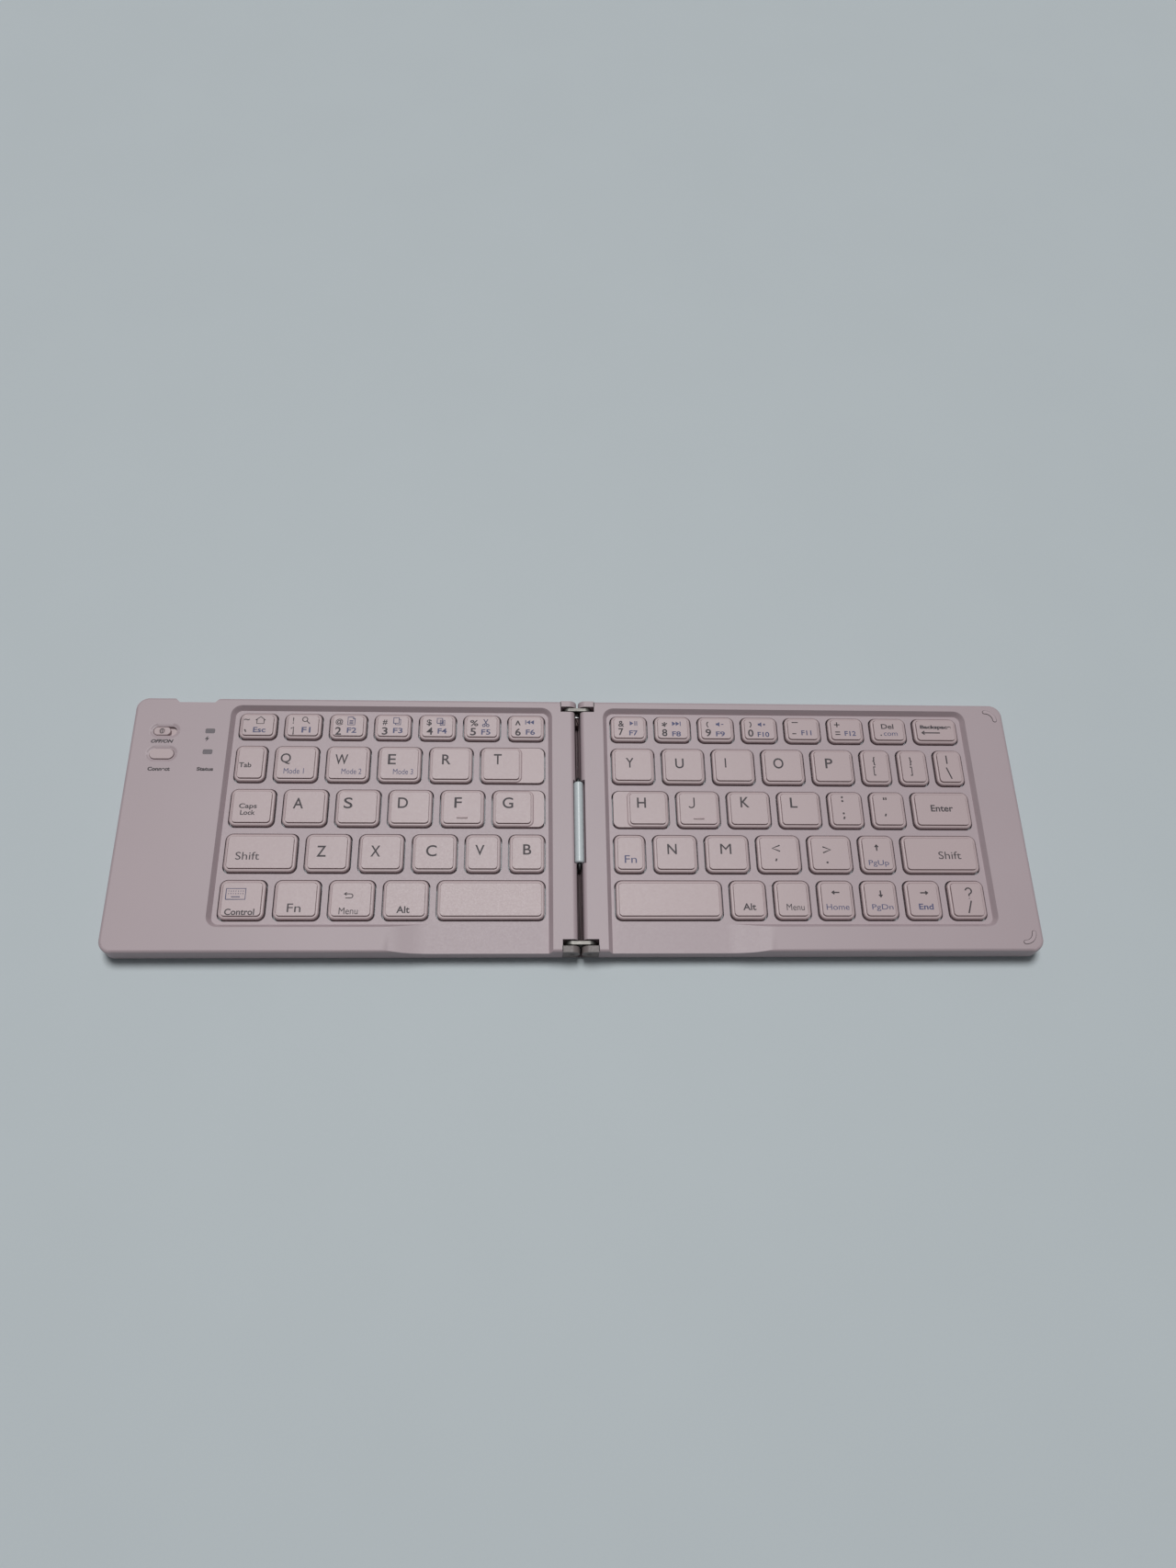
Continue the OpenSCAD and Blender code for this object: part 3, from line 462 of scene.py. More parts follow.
# The bumpers' rubber is moulded in the case's colour, finer and cleaner
bumper_rubber = finish("moulded_rubber_bumper", "BCABB0", 0.3, 0.03, 0.6, 0.05, 0.006)
# Harder rubber at the slit's end: black at the hinge and brown in front of it. The black finish also
# serves as painted shade in the gaps round the bumpers and beside the knuckles
stop_rubber_and_gap_shade = finish("black_rubber_stop_and_gap_shade", "2C2A2A", 0.3, 0.1, 0.6, 0.06, 0.01)
block_rubber = finish("moulded_brown_rubber_block", "4B3A3A", 0.3, 0.08, 0.7, 0.06, 0.01)
# Pressed wool felt, dark brown-grey, dull and fibrous: painted shade, laid low in the slit and under
# the knuckles where the table's light would show through
slit_shade_felt = finish("pressed_felt_slit_shade", "716164", 0.25, 0.2, 0.9, 0.04, 0.05)
# Steel rivet heads, pressed and then dulled by the paint's overspray
rivet_steel = finish("dulled_steel_rivet", "6E6A69", 0.2, 0.08, 0.4, 0.06, 0.003, Metallic=0.8)
# Silicone domes on a clear polyester sheet: milky and satin
dome_silicone = finish("moulded_silicone_dome_sheet", "D9DCE2", 0.8, 0.03, 0.4, 0.05, 0.003)
# Acetal scissor frames: white, waxy
scissor_acetal = finish("moulded_acetal_scissors", "EDEDEA", 0.6, 0.02, 0.38, 0.04, 0.002)
# Nickel on the magnets and on the charge port's shell: warm bright metal, faintly pitted
nickel = finish("nickel_plate", "C8C4BC", 0.3, 0.04, 0.22, 0.06, 0.001, Metallic=1.0)
# Gold over nickel on the port's contacts: yellow and even
gold = finish("gold_plated_contact", "D9B25F", 0.2, 0.05, 0.25, 0.05, 0.001, Metallic=1.0)
# Aluminised foil round the battery: bright and slightly crinkled
foil = finish("aluminised_battery_foil", "C2C4C6", 2.5, 0.06, 0.35, 0.08, 0.05, Metallic=1.0)
# Frosted polycarbonate light window: grey and dull until its lamp is lit
window_pc = finish("frosted_polycarbonate", "675E64", 0.5, 0.05, 0.5, 0.05, 0.002)
# Pad-printed ink: flat, with a slightly ragged strength
dark_ink = finish("pad_printed_dark_ink", "372F34", 0.3, 0.1, 0.6, 0.05)
blue_ink = finish("pad_printed_blue_ink", "4A4D72", 0.3, 0.1, 0.6, 0.05)


# How far apart the board's tracks run
TRACK_GRID = 4


def board_finish():
    """FR4 circuit board under green solder mask: glossy, with copper tracks showing through."""
    material = finish("solder_masked_fr4_board", "1F5C39", 0.5, 0.05, 0.3, 0.05)
    tree = material.node_tree
    skin = next(n for n in tree.nodes if n.type == "BSDF_PRINCIPLED")
    place = add(tree, "TexCoord")
    tracks = add(tree, "TexBrick", {
        "Vector": place.outputs["Object"], "Scale": 1 / (TRACK_GRID * MM), "Mortar Size": 0.06,
        "Color1": linear("1C5635"), "Color2": linear("20603B"), "Mortar": linear("37824F")})
    tree.links.new(tracks.outputs["Color"], skin.inputs["Base Color"])
    return material


board_mask = board_finish()

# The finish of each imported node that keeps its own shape
NODE_FINISH = {
    "left_key_plate": black_plate_and_gap_shade, "right_key_plate": black_plate_and_gap_shade,
    "left_dome_sheet": dome_silicone, "right_dome_sheet": dome_silicone,
    "left_magnets": nickel, "right_magnets": nickel,
    "main_board": board_mask, "battery": foil, "charge_port": nickel, "power_switch": plate_steel,
    "connect_tact_switch": plate_steel, "light_windows": window_pc,
}


def paint(piece, material):
    """Gives a piece its finish."""
    piece.data.materials.clear()
    piece.data.materials.append(material)
    return piece


for node, material in NODE_FINISH.items():
    paint(frame["nodes"][node], material)


# ---- Table and room ----

TABLE_SIZE = 3000


def lay_table():
    """A plain table top of pale laminate, smooth and dull, far wider than the picture."""
    clear()
    bpy.ops.mesh.primitive_plane_add(size=TABLE_SIZE * MM)
    table = settle("table")
    paint(table, finish("pale_laminate_table", "C9D2D6", 0.8, 0.01, 0.6, 0.04))


def fill_world():
    """An even grey room round the keyboard. The eye and the gloss see it as a pale backdrop."""
    world = bpy.data.worlds.new("room")
    world.use_nodes = True
    tree = world.node_tree
    room = tree.nodes["Background"]
    ray = add(tree, "LightPath")
    shiny = add(tree, "Math", {
        0: ray.outputs["Is Glossy Ray"], 1: ray.outputs["Is Transmission Ray"]}, operation="ADD")
    seen = add(tree, "Math", {0: ray.outputs["Is Camera Ray"], 1: shiny.outputs[0]}, operation="ADD")
    strength = add(tree, "MapRange", {
        "Value": seen.outputs[0], "To Min": FILL_STRENGTH, "To Max": BACKDROP_STRENGTH})
    tree.links.new(strength.outputs[0], room.inputs["Strength"])
    room.inputs["Color"].default_value = linear("E6EAEC")
    bpy.context.scene.world = world


lay_table()
fill_world()


# ---- Cases, hinge and controls ----

# How far the painted shade in the gap round a bumper shows beside it, and what its height is pressed to
BUMPER_GAP = 0.2
BUMPER_PRESS = 0.03


def bumper_gap_shade():
    """Painted shade in the gap round each corner bumper: a thin dark sheet under the bumper that shows
    all round.
    """
    piece = copied("right_corner_bumpers", "bumper_gap_shade")
    edit(piece)
    bpy.ops.mesh.select_all(action="SELECT")
    bpy.ops.transform.shrink_fatten(value=BUMPER_GAP * MM)
    put_down()
    low, high = (Vector(piece.bound_box[i]) for i in (0, 6))
    to_zero = Matrix.Translation((0, 0, -(low.z + high.z) / 2))
    press = Matrix.Diagonal((1, 1, BUMPER_PRESS, 1))
    to_rim = Matrix.Translation((0, 0, RIM_Z * MM))
    piece.data.transform(to_rim @ press @ to_zero)
    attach(paint(piece, stop_rubber_and_gap_shade), "right_half")


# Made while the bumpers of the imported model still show, because they are copied
bumper_gap_shade()

# Each node that gets rounded edges, their radius, and its finish
for node, radius, material in (
    ("left_top_case", 0.1, case_paint), ("right_top_case", 0.1, case_paint),
    ("left_bottom_cover", 0.2, cover_abs), ("right_bottom_cover", 0.2, cover_abs),
    ("left_hinge_brackets", 0.2, knuckle_zinc), ("right_hinge_brackets", 0.2, knuckle_zinc),
    ("left_hinge_pins", 0.15, pin_steel), ("right_hinge_pins", 0.15, pin_steel),
    ("hinge_links", 0.15, link_steel), ("cable_tube", 0.1, tube_polymer),
    ("left_feet", 0.15, foot_rubber), ("right_feet", 0.15, foot_rubber),
    ("right_corner_bumpers", 0.07, bumper_rubber), ("connect_button", 0.3, key_paint),
):
    paint(softened(node, radius), material)


def paint_back_knuckles():
    """The back knuckles carry the case's paint. The front ones stay grey."""
    for side in ("left", "right"):
        mesh = bpy.data.objects["soft_" + side + "_hinge_brackets"].data
        mesh.materials.append(case_paint)
        for face in mesh.polygons:
            if face.center.y > 0:
                face.material_index = 1


def hinge_wires():
    """The wires beside the tube, carried by the left half."""
    piece = copied("hinge_wires", "soft_wires")
    smooth(piece)
    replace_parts(paint(piece, wire_pvc), "hinge_wires")
    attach(piece, "left_half")
    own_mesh(piece)


# Half the width of the painted shade in the gap beside a knuckle, its length, and how far it goes below
# the rim and stands above it
GAP_SHADE_HALF = 0.14
GAP_SHADE_LENGTH = 1.6
GAP_SHADE_DEPTH = 1
GAP_SHADE_RISE = 0.03


def knuckle_gap_shade():
    """Painted shade: a thin black bar in the gap between each knuckle and its case."""
    for side, body in SIDES:
        x = side * KNUCKLE_X
        parts = []
        for end in (-1, 1):
            y0, y1 = sorted((end * KNUCKLE_Y, end * (KNUCKLE_Y + GAP_SHADE_LENGTH)))
            low = (x - GAP_SHADE_HALF, y0, RIM_Z - GAP_SHADE_DEPTH)
            high = (x + GAP_SHADE_HALF, y1, RIM_Z + GAP_SHADE_RISE)
            parts.append(rounded_bar("seam", low, high, corner=0.03, edge=0.01, segments=2))
        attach(paint(joined(parts, "knuckle_gap_shade_" + body), stop_rubber_and_gap_shade), body)


paint_back_knuckles()
hinge_wires()
knuckle_gap_shade()


# Half the length and width of the knob's grip, and where the grip starts above the knob's foot
GRIP_HALF = (2.65, 1.45)
GRIP_FOOT = 1
# The underside and top of the slider plate, above the knob's foot
PLATE = (0.8, 1.05)
# The two curved rows of studs: how far they bow out and reach along, and each stud's turn in degrees
ROW_BOW = (0.9, 0.95)
ROW_TURNS = (-50, -25, 0, 25, 50)
STUD_R = 0.16
STUD_HEIGHT = 0.2
STUD_EDGE = 0.07


def switch_knob():
    """The power switch's knob: a slider plate under the skin, and a round-ended grip with studs."""
    low, high = (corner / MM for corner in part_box("power_switch_knob"))
    middle = (low + high) / 2
    top = high.z
    grip_low = (middle.x - GRIP_HALF[0], middle.y - GRIP_HALF[1], low.z + GRIP_FOOT)
    grip_high = (middle.x + GRIP_HALF[0], middle.y + GRIP_HALF[1], top)
    piece = rounded_bar("switch_knob", grip_low, grip_high, corner=GRIP_HALF[1] - 0.1, edge=0.3)
    plate_low = (low.x, low.y, low.z + PLATE[0])
    plate_high = (high.x, high.y, low.z + PLATE[1])
    plate = rounded_bar("plate", plate_low, plate_high, corner=0.5, edge=0.05)
    stud = disc("stud", (0, 0, top), STUD_R, STUD_HEIGHT, sides=12)
    edit(stud)
    pick(stud, "EDGE", level_at(top + STUD_HEIGHT / 2))
    round_edges(STUD_EDGE, 2)
    put_down()
    parts = [piece, plate]
    for way in (-1, 1):
        for turn in ROW_TURNS:
            x = middle.x + way * ROW_BOW[0] * math.cos(math.radians(turn))
            y = middle.y + ROW_BOW[1] * math.sin(math.radians(turn))
            parts.append(moved(stud, x, y, "stud"))
    bpy.data.objects.remove(stud)
    joined(parts, "switch_knob")
    smooth(piece)
    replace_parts(paint(piece, key_paint), "power_switch_knob")
    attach(piece, "switch_knob")


switch_knob()


# The right half's strips of painted shade, from corner to corner: one in the slit and one under each
# end's knuckles
SHADE_STRIPS = [
    ((0.05, -HINGE_Y, 1.6), (SLIT_X, HINGE_Y, 2.6)),
    ((0.05, -KNUCKLE_Y - 1.7, 0.8), (1.6, -HINGE_Y - 0.05, 1.5)),
    ((0.05, HINGE_Y + 0.05, 0.8), (1.6, KNUCKLE_Y + 1.7, 1.5)),
]
# What stands at the slit's back end: two corners, the round on its edges, and its finish
STOPS = [
    ("slit_stop", (-SLIT_X, 37.3, 2.6), (0.3, HINGE_Y, 5.6), 0.3, stop_rubber_and_gap_shade),
    ("slit_clip", (-SLIT_X, 36.9, 2.6), (0.5, 37.15, 5.4), 0.08, pin_steel),
    ("slit_block", (-0.75, 34.1, 2.6), (0.45, 36.8, 5.2), 0.3, block_rubber),
]


def slit_shade_strips():
    """Dark felt low in the slit and under the knuckles: painted shade, which keeps the table's light
    from showing through the slit.
    """
    for side, body in SIDES:
        parts = []
        for low, high in SHADE_STRIPS:
            x0, x1 = sorted((side * low[0], side * high[0]))
            parts.append(rounded_bar("strip", (x0, *low[1:]), (x1, *high[1:]), corner=0.1, edge=0.3))
        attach(paint(joined(parts, "slit_shade_strip_" + body), slit_shade_felt), body)


def slit_stops():
    """At the slit's back end: a black stop, a thin steel clip and a brown block in front of it."""
    for name, low, high, edge, material in STOPS:
        stop = rounded_bar(name, low, high, corner=0.1, edge=edge)
        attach(paint(stop, material), "left_half")


RIVET_R = 1.35
RIVET_HEIGHT = 0.2
RIVET_EDGE = 0.04
# How a rivet lies: its round face looks along Y
LYING = (math.pi / 2, 0, 0)
# The ring pressed into a rivet's head, in steps of (run inwards, rise)
DIMPLE = [(0.45, 0), (0.12, -0.12), (0.18, 0.08)]


def rivet_heads():
    """A flat washer with a dimpled pin head on the outer face of each knuckle."""
    for node, body in (("left_hinge_pins", "left_half"), ("right_hinge_pins", "right_half")):
        low, high = (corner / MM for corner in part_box(node))
        middle = (low + high) / 2
        parts = []
        for side, y in ((-1, low.y), (1, high.y)):
            centre = (middle.x, y, middle.z)
            head = disc("rivet", centre, RIVET_R, RIVET_HEIGHT, sides=32, rotation=LYING)
            edit(head)
            pick(head, "FACE", facing(0, side, 0))
            step_in(DIMPLE)
            put_down()
            soft = head.modifiers.new("soft", "BEVEL")
            soft.width = RIVET_EDGE * MM
            soft.segments = 2
            bpy.ops.object.modifier_apply(modifier=soft.name)
            parts.append(head)
        piece = joined(parts, "rivets_" + body)
        smooth(piece)
        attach(paint(piece, rivet_steel), body)


# The contacts on one face of the port's tongue, how far apart they are, and how far from its middle
CONTACTS = 12
CONTACT_PITCH = 0.5
CONTACT_Z = 0.36
# Half a contact's width and thickness, and where it starts and ends in front of the port's mouth
CONTACT_HALF = (0.13, 0.02)
CONTACT_REACH = (5, 1.2)


def port_contacts():
    """Twelve gilt contacts on each face of the charge port's tongue."""
    low, high = (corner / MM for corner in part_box("charge_port"))
    middle = (low + high) / 2
    half, thin = CONTACT_HALF
    start, end = (high.y - reach for reach in CONTACT_REACH)
    first = rounded_bar("contact", (-half, start, -thin), (half, end, thin), corner=0.05, edge=0.01)
    parts = []
    for i in range(CONTACTS):
        x = middle.x + (i - (CONTACTS - 1) / 2) * CONTACT_PITCH
        for side in (-1, 1):
            strip = moved(first, x, 0, "contact")
            strip.data.transform(Matrix.Translation((0, 0, (middle.z + side * CONTACT_Z) * MM)))
            parts.append(strip)
    bpy.data.objects.remove(first)
    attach(paint(joined(parts, "port_contacts"), gold), "left_half")


def scissor_pairs():
    """Shares the scissor frames out among the keys: one piece under each key, carried by its half."""
    for half, keys in (("left", LEFT_KEYS), ("right", RIGHT_KEYS)):
        node = half + "_scissor_frames"
        frames = copied(node, "scissors")
        for key in keys:
            low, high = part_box(key)
            piece = moved(frames, 0, 0, "scissors_" + key)
            edit(piece)
            pick(piece, "FACE", lambda face: not within(face.calc_center_median(), low, high))
            bpy.ops.mesh.delete(type="FACE")
            put_down()
            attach(paint(piece, scissor_acetal), half + "_half")
            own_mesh(piece)
        # The half's last pair stands for the whole node
        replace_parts(piece, node)
        bpy.data.objects.remove(frames)


scissor_pairs()
slit_shade_strips()
slit_stops()
rivet_heads()
port_contacts()


# ---- Key caps ----

# Faces that lie this near along X belong to one cap
SAME_CAP = 0.5


def cap_spans(node):
    """Where each cap of a node starts and ends along X: its faces overlap in X, and caps don't."""
    mesh = frame["nodes"][node].data
    reach = []
    for face in mesh.polygons:
        xs = [mesh.vertices[v].co.x / MM for v in face.vertices]
        reach.append((min(xs), max(xs)))
    spans = []
    for low, high in sorted(reach):
        if spans and low < spans[-1][1] + SAME_CAP:
            spans[-1][1] = max(spans[-1][1], high)
        else:
            spans.append([low, high])
    return spans


def step_face(piece, foot, steps):
    """Steps the top face in and up from its foot, and takes the sharpness off the outer edges."""
    pick(piece, "FACE", top_face(piece))
    step_in(steps)
    pick(piece, "EDGE", level_at(foot, foot + STEPS[0][1], foot + sum(rise for run, rise in STEPS)))
    round_edges(CAP_EDGE, 2)


def key_cap(width, depth, shelf):
    """A cap over the frame's origin: upright skirt, stepped shoulder, grooved face, hollow inside."""
    foot = CAP_TOP - SHOULDER
    top = foot - PAD_EASE if shelf else foot
    low = (-width / 2, -depth / 2, CAP_BOTTOM)
    piece = upright_block("cap", low, (width / 2, depth / 2, top), KEY_R)
    step_face(piece, top, [] if shelf else STEPS + GROOVE)
    pick(piece, "FACE", facing(0, 0, -1))
    bpy.ops.mesh.inset(thickness=(CAP_WALL - CAP_EASE) * MM)
    bpy.ops.mesh.extrude_region_move(
        TRANSFORM_OT_translate={"value": (0, 0, (CAP_TOP - CAP_BOTTOM - CAP_ROOF) * MM)})
    put_down()
    if shelf:
        add_pad(piece, width, depth, shelf, foot)
    edit(piece)
    pick(piece, "EDGE", level_at(CAP_TOP))
    round_edges(CAP_EDGE, 2)
    put_down()
    smooth(piece)
    return paint(piece, key_paint)


def add_pad(piece, width, depth, shelf, foot):
    """Stands the raised pad on the cap, beside its low shelf."""
    low_x = -width / 2 + PAD_EASE + max(0, -shelf)
    high_x = width / 2 - PAD_EASE - max(0, shelf)
    end_y = depth / 2 - PAD_EASE
    low = (low_x, -end_y, foot - PAD_SUNK)
    pad = upright_block("pad", low, (high_x, end_y, foot), KEY_R - PAD_EASE)
    step_face(pad, foot, STEPS + GROOVE)
    put_down()
    weld = piece.modifiers.new("pad", "BOOLEAN")
    weld.object = pad
    weld.operation = "UNION"
    hold(piece)
    bpy.ops.object.modifier_apply(modifier=weld.name)
    bpy.data.objects.remove(pad)


def lay_caps():
    """Puts a cap on every key. Caps of one size are modelled once."""
    masters = {}
    for node in KEYS:
        low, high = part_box(node)
        middle_y = (low.y + high.y) / 2 / MM
        depth = round((high.y - low.y) / MM - 2 * CAP_EASE, 2)
        for i, (x0, x1) in enumerate(cap_spans(node)):
            size = (round(x1 - x0 - 2 * CAP_EASE, 2), depth, SHELVES.get(node, 0))
            if size not in masters:
                masters[size] = key_cap(*size)
            cap = moved(masters[size], (x0 + x1) / 2, middle_y, f"cap_{node}_{i + 1}")
            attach(cap, node)
            if i == 0:
                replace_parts(cap, node)
    for master in masters.values():
        bpy.data.objects.remove(master)


# The middle of the bar that each first finger finds
HOMING_BARS = {"keys_a_to_f": (-36.1, 0.85), "keys_j_to_l": (37.4, 0.85)}
# Half a bar's length and width, and how far it goes into the cap's face and stands above it
BAR_HALF = (1.7, 0.25)
BAR_SUNK = 0.1
BAR_RISE = 0.3


def homing_bars():
    """A small ridge on F and on J."""
    for body, (x, y) in HOMING_BARS.items():
        low = (x - BAR_HALF[0], y - BAR_HALF[1], CAP_TOP - BAR_SUNK)
        high = (x + BAR_HALF[0], y + BAR_HALF[1], CAP_TOP + BAR_RISE)
        ridge = rounded_bar("homing_bar_" + body, low, high, corner=0.24, edge=0.12, segments=4)
        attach(paint(ridge, key_paint), body)


lay_caps()
homing_bars()


# ---- Printed signs ----

# Each sign's middle and size on the keyboard, in mm: (words, x, y, width, height)
DARK_WORDS = [
    ("~", -104.9, 34.5, 1.8, 0.6), ("`", -105.1, 30.5, 0.9, 1.0),
    ("!", -90.3, 34.3, 0.35, 2.3),
    ("@", -75.8, 33.9, 2.4, 2.3), ("2", -76.0, 30.7, 1.9, 2.8),
    ("#", -61.4, 33.9, 1.5, 2.0), ("3", -61.35, 30.8, 1.8, 2.7),
    ("$", -47.4, 33.9, 1.6, 2.4), ("4", -47.15, 30.9, 2.0, 2.6),
    ("%", -33.1, 33.9, 2.6, 2.2), ("5", -33.4, 30.8, 1.9, 2.7),
    ("^", -19.15, 34.1, 1.8, 1.7), ("6", -19.1, 30.8, 1.8, 2.6),
    ("&", 14.1, 34.1, 1.9, 2.2), ("7", 13.95, 31.2, 1.6, 2.6),
    ("*", 28.1, 34.0, 1.8, 1.8), ("8", 28.05, 31.0, 1.7, 2.6),
    ("9", 42.2, 31.1, 1.8, 2.7),
    ("0", 56.0, 31.1, 1.8, 2.6),
    ("Del", 101.1, 33.9, 4.1, 1.8),
    ("Tab", -103.8, 18.5, 3.8, 1.7), ("Q", -91.5, 20.7, 3.2, 3.8), ("W", -74.2, 20.65, 4.0, 3.5),
    ("E", -58.55, 20.8, 2.5, 3.6), ("R", -41.55, 20.85, 2.7, 3.5), ("T", -25.4, 21.05, 2.5, 3.6),
    ("Y", 16.4, 20.1, 2.5, 3.4), ("U", 32.25, 20.0, 2.7, 3.5),
    ("O", 64.05, 20.25, 3.3, 3.7), ("P", 80.4, 20.35, 2.4, 3.5),
    ("Caps", -101.5, 4.3, 5.4, 2.1), ("Lock", -101.4, 2.3, 4.5, 1.6),
    ("A", -86.35, 5.5, 3.1, 3.6), ("S", -71.15, 5.65, 2.7, 3.7), ("D", -54.4, 5.8, 3.1, 3.6),
    ("F", -37.45, 5.95, 2.3, 3.6), ("G", -22.05, 5.95, 3.3, 3.7), ("H", 19.6, 6.2, 2.8, 3.5),
    ("K", 52.2, 6.55, 2.8, 3.6), ("L", 67.7, 6.45, 2.3, 3.5),
    ("Enter", 114.95, 4.75, 7.1, 2.3),
    ("Shift", -100.0, -11.95, 7.1, 2.5), ("Z", -78.1, -10.4, 2.8, 3.6),
    ("X", -61.9, -10.3, 2.9, 3.6), ("C", -45.05, -10.15, 3.2, 3.7), ("V", -30.4, -9.9, 2.8, 3.4),
    ("B", -16.0, -9.65, 2.5, 3.4), ("N", 28.45, -9.4, 2.9, 3.4), ("M", 45.1, -9.3, 3.4, 3.4),
    ("Shift", 115.1, -11.25, 7.1, 2.5),
    ("Control", -100.55, -29.7, 8.7, 2.0), ("Fn", -84.8, -28.45, 4.0, 2.7),
    ("Menu", -68.8, -29.4, 5.6, 2.1), ("Alt", -52.75, -29.0, 3.9, 2.2),
    ("Alt", 51.1, -28.1, 4.0, 2.2), ("Menu", 65.1, -28.2, 5.4, 2.1),
]
BOLD_WORDS = [
    ("Backspace", 117.1, 33.65, 10.3, 1.7), ("Connect", -130.0, 16.85, 6.8, 1.35),
    ("Status", -115.9, 16.9, 5.05, 1.3), ("OFF/ON", -130.2, 26.5, 6.9, 1.25),
]
BLUE_WORDS = [
    ("Esc", -100.7, 30.9, 3.9, 1.9), ("F1", -86.1, 31.0, 2.8, 2.0), ("F2", -71.8, 31.0, 3.0, 1.9),
    ("F3", -57.25, 31.0, 3.0, 1.9), ("F4", -43.2, 30.95, 2.9, 1.9), ("F5", -29.35, 30.7, 2.9, 1.9),
    ("F6", -15.15, 30.8, 2.9, 1.9), ("F7", 17.95, 30.8, 2.7, 1.8), ("F8", 31.85, 30.6, 2.8, 1.8),
    ("F9", 46.1, 30.7, 2.9, 1.8), ("F10", 60.1, 30.65, 3.8, 1.8), ("F11", 74.2, 31.35, 3.3, 1.75),
    ("F12", 88.6, 31.25, 3.7, 1.75), ("com", 101.9, 31.1, 4.5, 1.2),
    ("Mode 1", -88.7, 16.5, 6.2, 1.9), ("Mode 2", -70.9, 16.5, 6.2, 1.9),
    ("Mode 3", -54.9, 16.5, 6.2, 1.9),
    ("Fn", 15.6, -12.75, 3.7, 2.5), ("PgUp", 92.45, -14.0, 6.3, 2.2),
    ("Home", 78.1, -28.15, 7.0, 1.9), ("PgDn", 91.85, -28.4, 6.5, 2.2),
    ("End", 105.3, -28.05, 4.5, 1.9),
]
# How far the ink stands above what it is printed on, how wide its lines are, and how flat
INK_RISE = 0.012
LINE_W = 0.28
LINE_FLAT = 0.05


def surface_under(x, y):
    """The body that a sign is printed on, and the height of its face: a key's, or the left rim's."""
    for node in KEYS:
        if within(Vector((x, y)) * MM, *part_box(node)):
            return node, CAP_TOP + INK_RISE
    return "left_half", RIM_Z + INK_RISE


def lay_ink(curve, x, y, stretch, middle=(0, 0)):
    """Makes text or a drawing a mesh and lays it on what is under it. Gives the body and the mesh."""
    body, z = surface_under(x, y)
    carrier = bpy.data.objects.new("ink", curve)
    mesh = bpy.data.meshes.new_from_object(carrier)
    bpy.data.objects.remove(carrier)
    mesh.transform(Matrix.Translation((x * MM, y * MM, z * MM)) @ Matrix.Diagonal((*stretch, 1))
                   @ Matrix.Translation((-middle[0], -middle[1], 0)))
    return body, mesh


def print_word(words, x, y, width, height, weight, slant=0.0):
    """Prints words that fill a given width and height, thicker by a weight."""
    text = bpy.data.curves.new("words", "FONT")
    text.body = words
    text.offset = weight
    text.shear = slant
    text.resolution_u = 5
    carrier = bpy.data.objects.new("words", text)
    outline = bpy.data.meshes.new_from_object(carrier)
    xs = [v.co.x for v in outline.vertices]
    ys = [v.co.y for v in outline.vertices]
    bpy.data.objects.remove(carrier)
    stretch = (width * MM / (max(xs) - min(xs)), height * MM / (max(ys) - min(ys)), 1)
    return lay_ink(text, x, y, stretch, ((max(xs) + min(xs)) / 2, (max(ys) + min(ys)) / 2))


def drawn(outlines, closed):
    """A curve through lists of points."""
    curve = bpy.data.curves.new("drawing", "CURVE")
    curve.dimensions = "2D" if closed else "3D"
    for outline in outlines:
        spline = curve.splines.new("POLY")
        spline.points.add(len(outline) - 1)
        for point, (px, py) in zip(spline.points, outline):
            point.co = (px, py, 0, 1)
        spline.use_cyclic_u = closed
    return curve


def print_lines(paths, x, y, width=LINE_W):
    """Prints a small picture of lines, each a list of points round the picture's middle."""
    curve = drawn(paths, False)
    curve.bevel_depth = width / 2
    curve.bevel_resolution = 1
    curve.use_fill_caps = True
    return lay_ink(curve, x, y, (MM, MM, LINE_FLAT * MM))


def print_shape(outlines, x, y):
    """Prints a small picture of filled outlines."""
    curve = drawn(outlines, True)
    curve.fill_mode = "BOTH"
    return lay_ink(curve, x, y, (MM, MM, MM))


def ring(x, y, radius, start=0, end=360, steps=14):
    """Points along an arc, with its angles in degrees."""
    angles = [math.radians(start + (end - start) * i / steps) for i in range(steps + 1)]
    return [(x + radius * math.cos(a), y + radius * math.sin(a)) for a in angles]


def frame_of(x0, y0, x1, y1):
    """The four sides of a rectangle."""
    return [(x0, y0), (x1, y0), (x1, y1), (x0, y1), (x0, y0)]


def arrow(length, turn, head=0.75):
    """A thin arrow that points along +X, turned by a number of degrees."""
    shaft = [(-length / 2, 0), (length / 2, 0)]
    barbs = [(length / 2 - head, head * 0.7), (length / 2, 0), (length / 2 - head, -head * 0.7)]
    c, s = math.cos(math.radians(turn)), math.sin(math.radians(turn))
    return [[(px * c - py * s, px * s + py * c) for px, py in path] for path in (shaft, barbs)]


# Small pictures, as lines or outlines round their middles
HOUSE = [[(-1.5, 0.0), (0, 1.25), (1.5, 0.0)],
         [(-1.1, 0.25), (-1.1, -1.25), (1.1, -1.25), (1.1, 0.25)]]
MAGNIFIER = [ring(-0.35, 0.35, 0.8), [(0.22, -0.22), (1.2, -1.2)]]
PAGE = [[(0.5, 1.4), (-1.1, 1.4), (-1.1, -1.4), (1.1, -1.4), (1.1, 0.8), (0.5, 1.4), (0.5, 0.8),
         (1.1, 0.8)],
        [(-0.6, 0.1), (0.6, 0.1)], [(-0.6, -0.4), (0.6, -0.4)], [(-0.6, -0.9), (0.6, -0.9)]]
COPY = [frame_of(-1.1, -0.7, 0.6, 1.3),
        [(-0.5, -0.7), (-0.5, -1.2), (1.1, -1.2), (1.1, 0.7), (0.6, 0.7)]]
